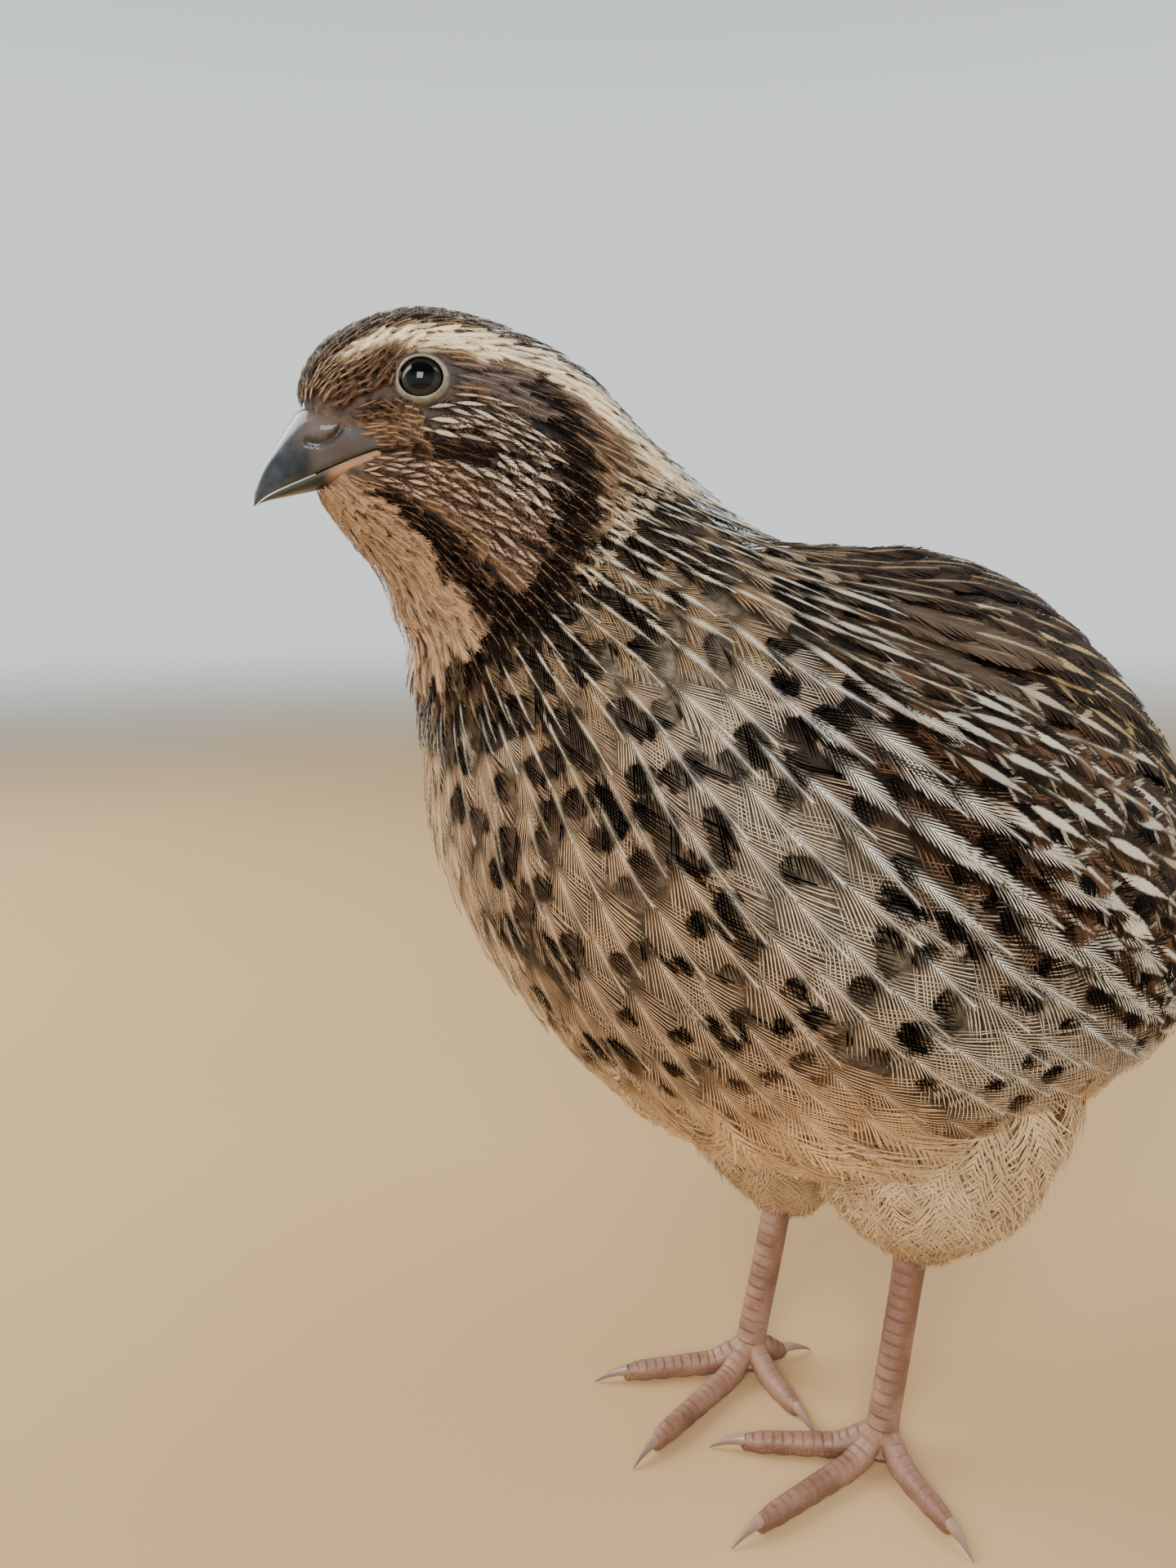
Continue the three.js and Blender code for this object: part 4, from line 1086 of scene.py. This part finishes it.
bill.bumped(fine * 0.6 + streaks, 0.00008)


def mandible(ridge, half_share, gap):
    """Half of the bill, from the mouth's line out to a ridge: its points as seen from the side,
    and how far across each one lies. It is closed flat along the mouth."""
    stations = np.linspace(0, 1, 110)
    arch, flat = np.radians(np.linspace(-90, 90, 57)), np.radians(np.linspace(100, 260, 13))
    top, bottom = along_line(ridge, stations), along_line(mouth, stations) + [0, gap]
    half = np.interp(stations, *zip(*bill_half)) * half_share
    up = np.concatenate([np.cos(arch) ** 0.8, 0 * flat])
    out = np.sign(np.sin(arch)) * np.abs(np.sin(arch)) ** 0.9
    out = np.concatenate([out, np.sin(flat) * 0.98])
    return bottom[:, None] + (top - bottom)[:, None] * up[None, :, None], half[:, None] * out[None]


upper_view, upper_across = mandible(culmen, 1.0, 0.05)
lower_view, lower_across = mandible(keel, 0.95, -0.1)
# The flap over the nostril swells out, and the nostril is the slit under its lower rear edge.
flap_at = (upper_view - [11.9, -1.7]) @ np.array([[0.94, 0.34], [-0.34, 0.94]])
swell = 0.55 * np.exp(-((flap_at[..., 0] / 2.5) ** 2) - (flap_at[..., 1] / 1.5) ** 2)
slit = np.array([(9.3, -1.3), (9.9, -2.2), (10.8, -2.9), (11.9, -3.2), (12.8, -3.1)])
slit_fine = blended(slit, np.linspace(0, 4, 60))
to_slit = np.linalg.norm(upper_view[:, :, None] - slit_fine[None, None], axis=-1).min(-1)
slit_groove_and_shade = np.clip(1 - to_slit / 0.42, 0, 1) ** 0.6
upper_across = upper_across * (1 + (swell - 0.55 * slit_groove_and_shade) / np.maximum(np.abs(upper_across), 1.5))


def washed(base, *layers):
    """Lays colours over a base one, each by its own share."""
    colour = np.broadcast_to(paint(base), (*layers[0][0].shape, 3)).copy()
    for share, code in layers:
        colour += share[..., None] * (paint(code) - colour)
    return colour


def beside_mouth(view, soft):
    """1 along the mouth's line and 0 away from it."""
    off = np.abs(view[..., 1] - np.interp(view[..., 0], *zip(*mouth)))
    return 1 - soft_step(off, 0.4, soft)


def bill_piece(name, view, across, colours, node):
    piece = made(name, *capped(in_head(view[..., 0], view[..., 1], across)), bill)
    painted(piece, "tint", with_ends(colours))
    # toward its root the horn passes into bare skin
    painted(piece, "bare", with_ends(1 - soft_step(view[..., :1], 12.4, 2.4) + np.zeros(3)))
    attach(piece, "root")
    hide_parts(node)


upper_colours = washed(
    "#24272b",
    (soft_step(upper_view[..., 0], 14.5, 4) * 0.3, "#3c434c"),
    (1 - soft_step(upper_view[..., 0], 12.6, 1.6), "#564a43"),
    (np.exp(-((flap_at[..., 0] / 2.3) ** 2) - (flap_at[..., 1] / 1.5) ** 2) * 0.8, "#6f6158"),
    (beside_mouth(upper_view, 0.4) * 0.5, "#4b4d45"),
    # painted shade: the nostril's slit is near black, for the shade inside it
    (slit_groove_and_shade, "#15100d"),
)
lower_colours = washed(
    "#2c2e2d",
    (1 - soft_step(lower_view[..., 0], 10.8, 1.6), "#b98c70"),
    (soft_step(lower_view[..., 0], 14.5, 3.0) * 0.5, "#33383b"),
    (beside_mouth(lower_view, 0.5) * 0.5, "#6d6f5f"),
)
bill_piece("bill_upper_horn", upper_view, upper_across, upper_colours, "bill_upper")
bill_piece("bill_lower_horn", lower_view, lower_across, lower_colours, "bill_lower")

# Eyes: a dark wet eyeball with an olive iris, set into each side of the head. It is held by a ring
# of bare pale skin, the lids, whose outer edge goes under the face's feathers.
eye = Finish("eye_wet", Roughness=0.12, Specular_IOR_Level=0.04, Coat_Weight=0.5, Coat_Roughness=0.02)
off_axis = eye.parts(eye.attribute("place"))[0]
iris = eye.mixed(eye.noise(6.0, 3.0, eye.attribute("spokes")), paint("#25241b"), paint("#3d3b2c"))
iris = eye.mixed(off_axis.between(1.6, 2.15), iris, paint("#0c0a08"))
eye.shade("Base Color", eye.mixed(off_axis.between(1.42, 1.34), iris, paint("#020202")))
lid = Finish("bare_lid", Roughness=0.5, Coat_Weight=0.15)
lid_grain = lid.noise(1500.0, 3.0)
lid_mottle = lid_grain.between(0.35, 0.65) * 0.6
lid.shade("Base Color", lid.mixed(lid_mottle, lid.attribute("tint"), paint("#6a6257")))
lid.bumped(lid_grain, 0.0001)
eye_radius = 3.3
# An oval opening, a rounded rim on it, and a flange that goes under the feathers: each point's
# distance out from the eye's axis, and off the ball
lid_profile = np.array(
    [(2.05, -0.08), (2.08, 0.1), (2.16, 0.2), (2.3, 0.24), (2.46, 0.16), (2.66, -0.02),
     (3.0, -0.3), (3.4, -0.75), (3.1, -0.9), (2.4, -0.5)]
)


def on_eye(word, height, out, spin):
    """Points of an eye from their height along its axis, and from how far out and where round it."""
    axis = unit(np.array(eye_axes[word]))
    back = unit(np.cross([0, 0, 1], axis))
    rise = np.cross(axis, back)
    height, out, spin = height[..., None], out[..., None], spin[..., None]
    return eyes[word] + axis * height + back * (out * np.cos(spin)) + rise * (out * np.sin(spin))


for word in eyes:
    polar, spin = np.meshgrid(
        np.radians(np.linspace(0.2, 179.8, 60)), np.radians(np.arange(0, 360, 6)), indexing="ij"
    )
    radius = eye_radius + 0.32 * np.exp(-((np.degrees(polar) / 30) ** 2)) - 0.1
    out = np.sin(polar) * radius
    ball = made(f"eyeball_{word}", *capped(on_eye(word, np.cos(polar) * radius, out, spin)), eye)
    # how far out from the pupil's middle, and so large behind that no iris shows there
    off = np.where(np.cos(polar) > 0, out, 9.0)
    place = np.stack([off, spin, 0 * off], -1).reshape(-1, 3)
    spokes = np.stack([np.cos(spin) * 2.5, np.sin(spin) * 2.5, out * 0.12], -1).reshape(-1, 3)
    painted(ball, "place", np.concatenate([place, [[0, 0, 0], [9, 0, 0]]]))
    painted(ball, "spokes", np.concatenate([spokes, spokes[:2]]))
    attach(ball, "root")
    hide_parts(f"eye_{word}")
    spin, k = np.meshgrid(np.radians(np.arange(0, 360, 3)), np.arange(len(lid_profile)), indexing="ij")
    upper = np.clip(np.sin(spin), 0, 1)
    bead = 1 + 0.05 * np.sin(spin * 30) * (k > 1) * (k < 7)
    out = lid_profile[k, 0] * (1 + 0.05 * np.cos(2 * spin) - 0.05 * upper)
    ball_height = np.sqrt(np.maximum((eye_radius + 0.12) ** 2 - np.minimum(out, 3.2) ** 2, 0))
    height = ball_height - np.clip(out - 3.2, 0, 2) * 0.3 + lid_profile[k, 1] * bead
    grid = on_eye(word, height + 0.12 * upper * (k < 5), out, spin)
    ring = made(f"lid_{word}", grid, ring_corners(*k.shape, looped=True)[:, ::-1], lid)
    # painted shade: the lid is darker at its inner edge, in the crease against the eyeball, and on its
    # flange under the feathers
    layers = [((k < 1) * 0.9, "#2b241f"), ((k == 1) * 0.5, "#4a4038"), ((k > 4) * 0.8, "#4d4238")]
    painted(ring, "tint", washed("#93897a", *layers))
    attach(ring, "root")

# Legs and toes: scaled flesh-pink skin, with overlapping plates down the shank's front and over
# each toe, pads under the toes and a horn claw at the end of each.
scaled = Finish("scaled_skin", Roughness=0.48, Coat_Weight=0.12, Coat_Roughness=0.35)
plate_down, plate_age, plate_facing = scaled.parts(scaled.attribute("plate"))
blotch = scaled.noise(180.0, 3.0).between(0.35, 0.65)
pores = {"Vector": scaled.here(), "Scale": 1500.0}
pores = scaled.node("TexVoronoi", {"feature": "DISTANCE_TO_EDGE"}, pores).between(0.0, 0.12)
flesh = scaled.mixed(blotch, paint("#86614b"), paint("#a7826c"))
flesh = scaled.mixed(plate_age * 0.6, flesh, paint("#86604e"))
flesh = scaled.mixed(plate_down.between(0.8, 1.0) * 0.75, flesh, paint("#5f4034"))
scaled.shade("Base Color", flesh)
scaled.bumped(pores * (1 - plate_facing * 0.8), 0.0001)
claw = Finish("claw_horn", Roughness=0.35, Coat_Weight=0.2)
claw_grain = claw.noise(900.0, 3.0)
claw.shade("Base Color", claw.mixed(claw_grain * 0.4, claw.attribute("tint"), paint("#5c4437")))
claw.bumped(claw_grain, 0.00006)
# where the toes meet and the ankle, and the heading and length of each toe with its claw
feet = {
    "left": {
        "meet": (2.6, 14.2),
        "ankle": (-5.2, 12.6),
        "toes": {"inner": (-43, 24.5), "middle": (-5, 28.5), "outer": (72, 20), "hind": (-140, 10.5)},
    },
    "right": {
        "meet": (3.0, -10.4),
        "ankle": (-5.0, -11.2),
        "toes": {"outer": (-31, 25), "middle": (8, 29), "inner": (76, 17.5), "hind": (160, 11)},
    },
}
claw_length = 4.6
meet_height, toe_height = 3.6, 1.35
shank_rings, toe_rings, claw_rings, claw_columns = 190, 110, 46, 20


def limb(line, lean, reach_up, reach_down, reach_side, columns=32):
    """Rings about a line, kept above the floor, and how far each of their points looks toward
    `lean`, the way that the plates face."""
    spin = np.radians(np.arange(columns) * 360 / columns)
    lie = unit(np.gradient(line, axis=0))
    up = unit(lean - (lean * lie).sum(-1, keepdims=True) * lie)
    side = np.cross(up, lie)
    c, s = np.cos(spin)[None, :, None], np.sin(spin)[None, :, None]
    reach = np.where(c > 0, reach_up[:, None, None], reach_down[:, None, None])
    grid = line[:, None] + up[:, None] * c * reach + side[:, None] * s * reach_side[:, None, None]
    grid[:, :, 2] = np.maximum(grid[:, :, 2], 0)
    return grid, np.cos(spin)


def plates(down, facing, age):
    """How far down its plate each point lies, how worn it is, and how much it faces outward."""
    facing = np.clip(facing, 0, 1) * np.ones((len(down), 1))
    return np.stack([down[:, None] * facing, age[:, None] + 0 * facing, facing], -1)


def over_floor(meet, lie, run, height):
    return np.array([*meet, 0]) + lie * run[:, None] + np.array([0, 0, 1]) * height[:, None]


for word, foot in feet.items():
    meet, ankle = np.array(foot["meet"]), np.array(foot["ankle"])
    path = np.array(
        [
            (meet[0] + 0.4, meet[1], 1.6),
            (meet[0] - 0.4, meet[1] - 0.04 * (meet[1] - ankle[1]), 6),
            ((meet[0] + ankle[0]) / 2, (meet[1] + ankle[1]) / 2, 18),
            (ankle[0], ankle[1], 33),
        ]
    )
    share = np.linspace(0, 3, shank_rings)
    line = blended(path, share)
    # 0 at the upper edge of each overlapping plate and 1 at its lower edge
    down = travelled(line) / 1.7 % 1
    wide = 1 + 0.35 * (1 - soft_step(share, 0.55, 1.1)) + 0.12 * soft_step(share, 2.6, 0.7)
    front = (2.15 + 0.26 * (1 - down)) * wide
    grid, facing = limb(line, (1.0, 0, 0), front, 2.3 * wide, 2.15 * wide)
    skins, claws = [(grid, plates(down, facing * 1.6, 0 * down))], []
    for toe, (heading, reach) in foot["toes"].items():
        heading = math.radians(heading)
        lie = np.array([math.cos(heading), math.sin(heading), 0])
        length = reach - claw_length - 0.1
        ramp = min(length, 7)
        run = np.linspace(0, length, toe_rings)
        height = meet_height + (toe_height - meet_height) * soft_step(run, ramp / 2, ramp)
        taper = 1.75 + (1.3 - 1.75) * run / length
        ended = np.sqrt(np.clip(1 - ((run - length + 0.8) / 0.95) ** 2, 0, 1))
        taper *= np.where(run > length - 0.8, ended, 1)
        down = run / 1.4 % 1
        pad = 1 + 0.2 * np.sin(np.pi * run / 3.1) ** 2
        slim = taper * (1 - 0.3 * soft_step(run, length - 1.7, 3.4))
        grid, facing = limb(
            over_floor(meet, lie, run, height), (0, 0, 1.0),
            slim * (1.02 + 0.14 * (1 - down)), taper * pad, slim * (0.97 + 0.05 * pad),
        )
        skins.append((grid, plates(down, facing * 2.2, 0.5 * np.clip(run / length, 0, 1))))
        share = np.linspace(0, 1, claw_rings)
        run = length - 0.5 + share * (claw_length + 0.35)
        line = over_floor(meet, lie, run, toe_height + 0.25 - 1.45 * share**2)
        thick = 0.95 + (0.1 - 0.95) * share**0.95
        grid, _ = limb(line, (0, 0, 1.0), thick, thick * 0.9, thick * 0.8, claw_columns)
        worn = np.repeat(share[:, None], claw_columns, 1) ** 0.8 * 0.7
        claws.append((grid, washed("#b59b88", (worn, "#6d5546"))))
    # the ball of the foot, where the toes meet
    polar = np.radians(np.linspace(1, 179, 40))[:, None]
    spin = np.radians(np.arange(0, 360, 12))
    grid = np.stack(
        [
            meet[0] + 2.7 * np.sin(polar) * np.cos(spin),
            meet[1] + 2.5 * np.sin(polar) * np.sin(spin),
            np.maximum(1.65 + 1.95 * np.cos(polar) * np.ones_like(spin), 0),
        ],
        -1,
    )
    skins.append((grid, np.zeros_like(grid)))
    for kind, node, forms, finish, key, slot in (
        ("foot", "toe", skins, scaled, "plate", "scales"),
        ("claws", "claw", claws, claw, "tint", "claw"),
    ):
        points, corners, values, count = [], [], [], 0
        for grid, marks in forms:
            grid_points, grid_corners = capped(grid)
            points.append(grid_points)
            corners.append(grid_corners + count)
            values.append(with_ends(marks))
            count += len(grid_points)
        piece = made(f"{kind}_{word}", np.concatenate(points), np.concatenate(corners), finish)
        painted(piece, key, np.concatenate(values))
        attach(piece, "root")
        names = [f"{node}_{word}_{toe}" for toe in foot["toes"]]
        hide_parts(*names, *([f"leg_{word}"] if kind == "foot" else []))
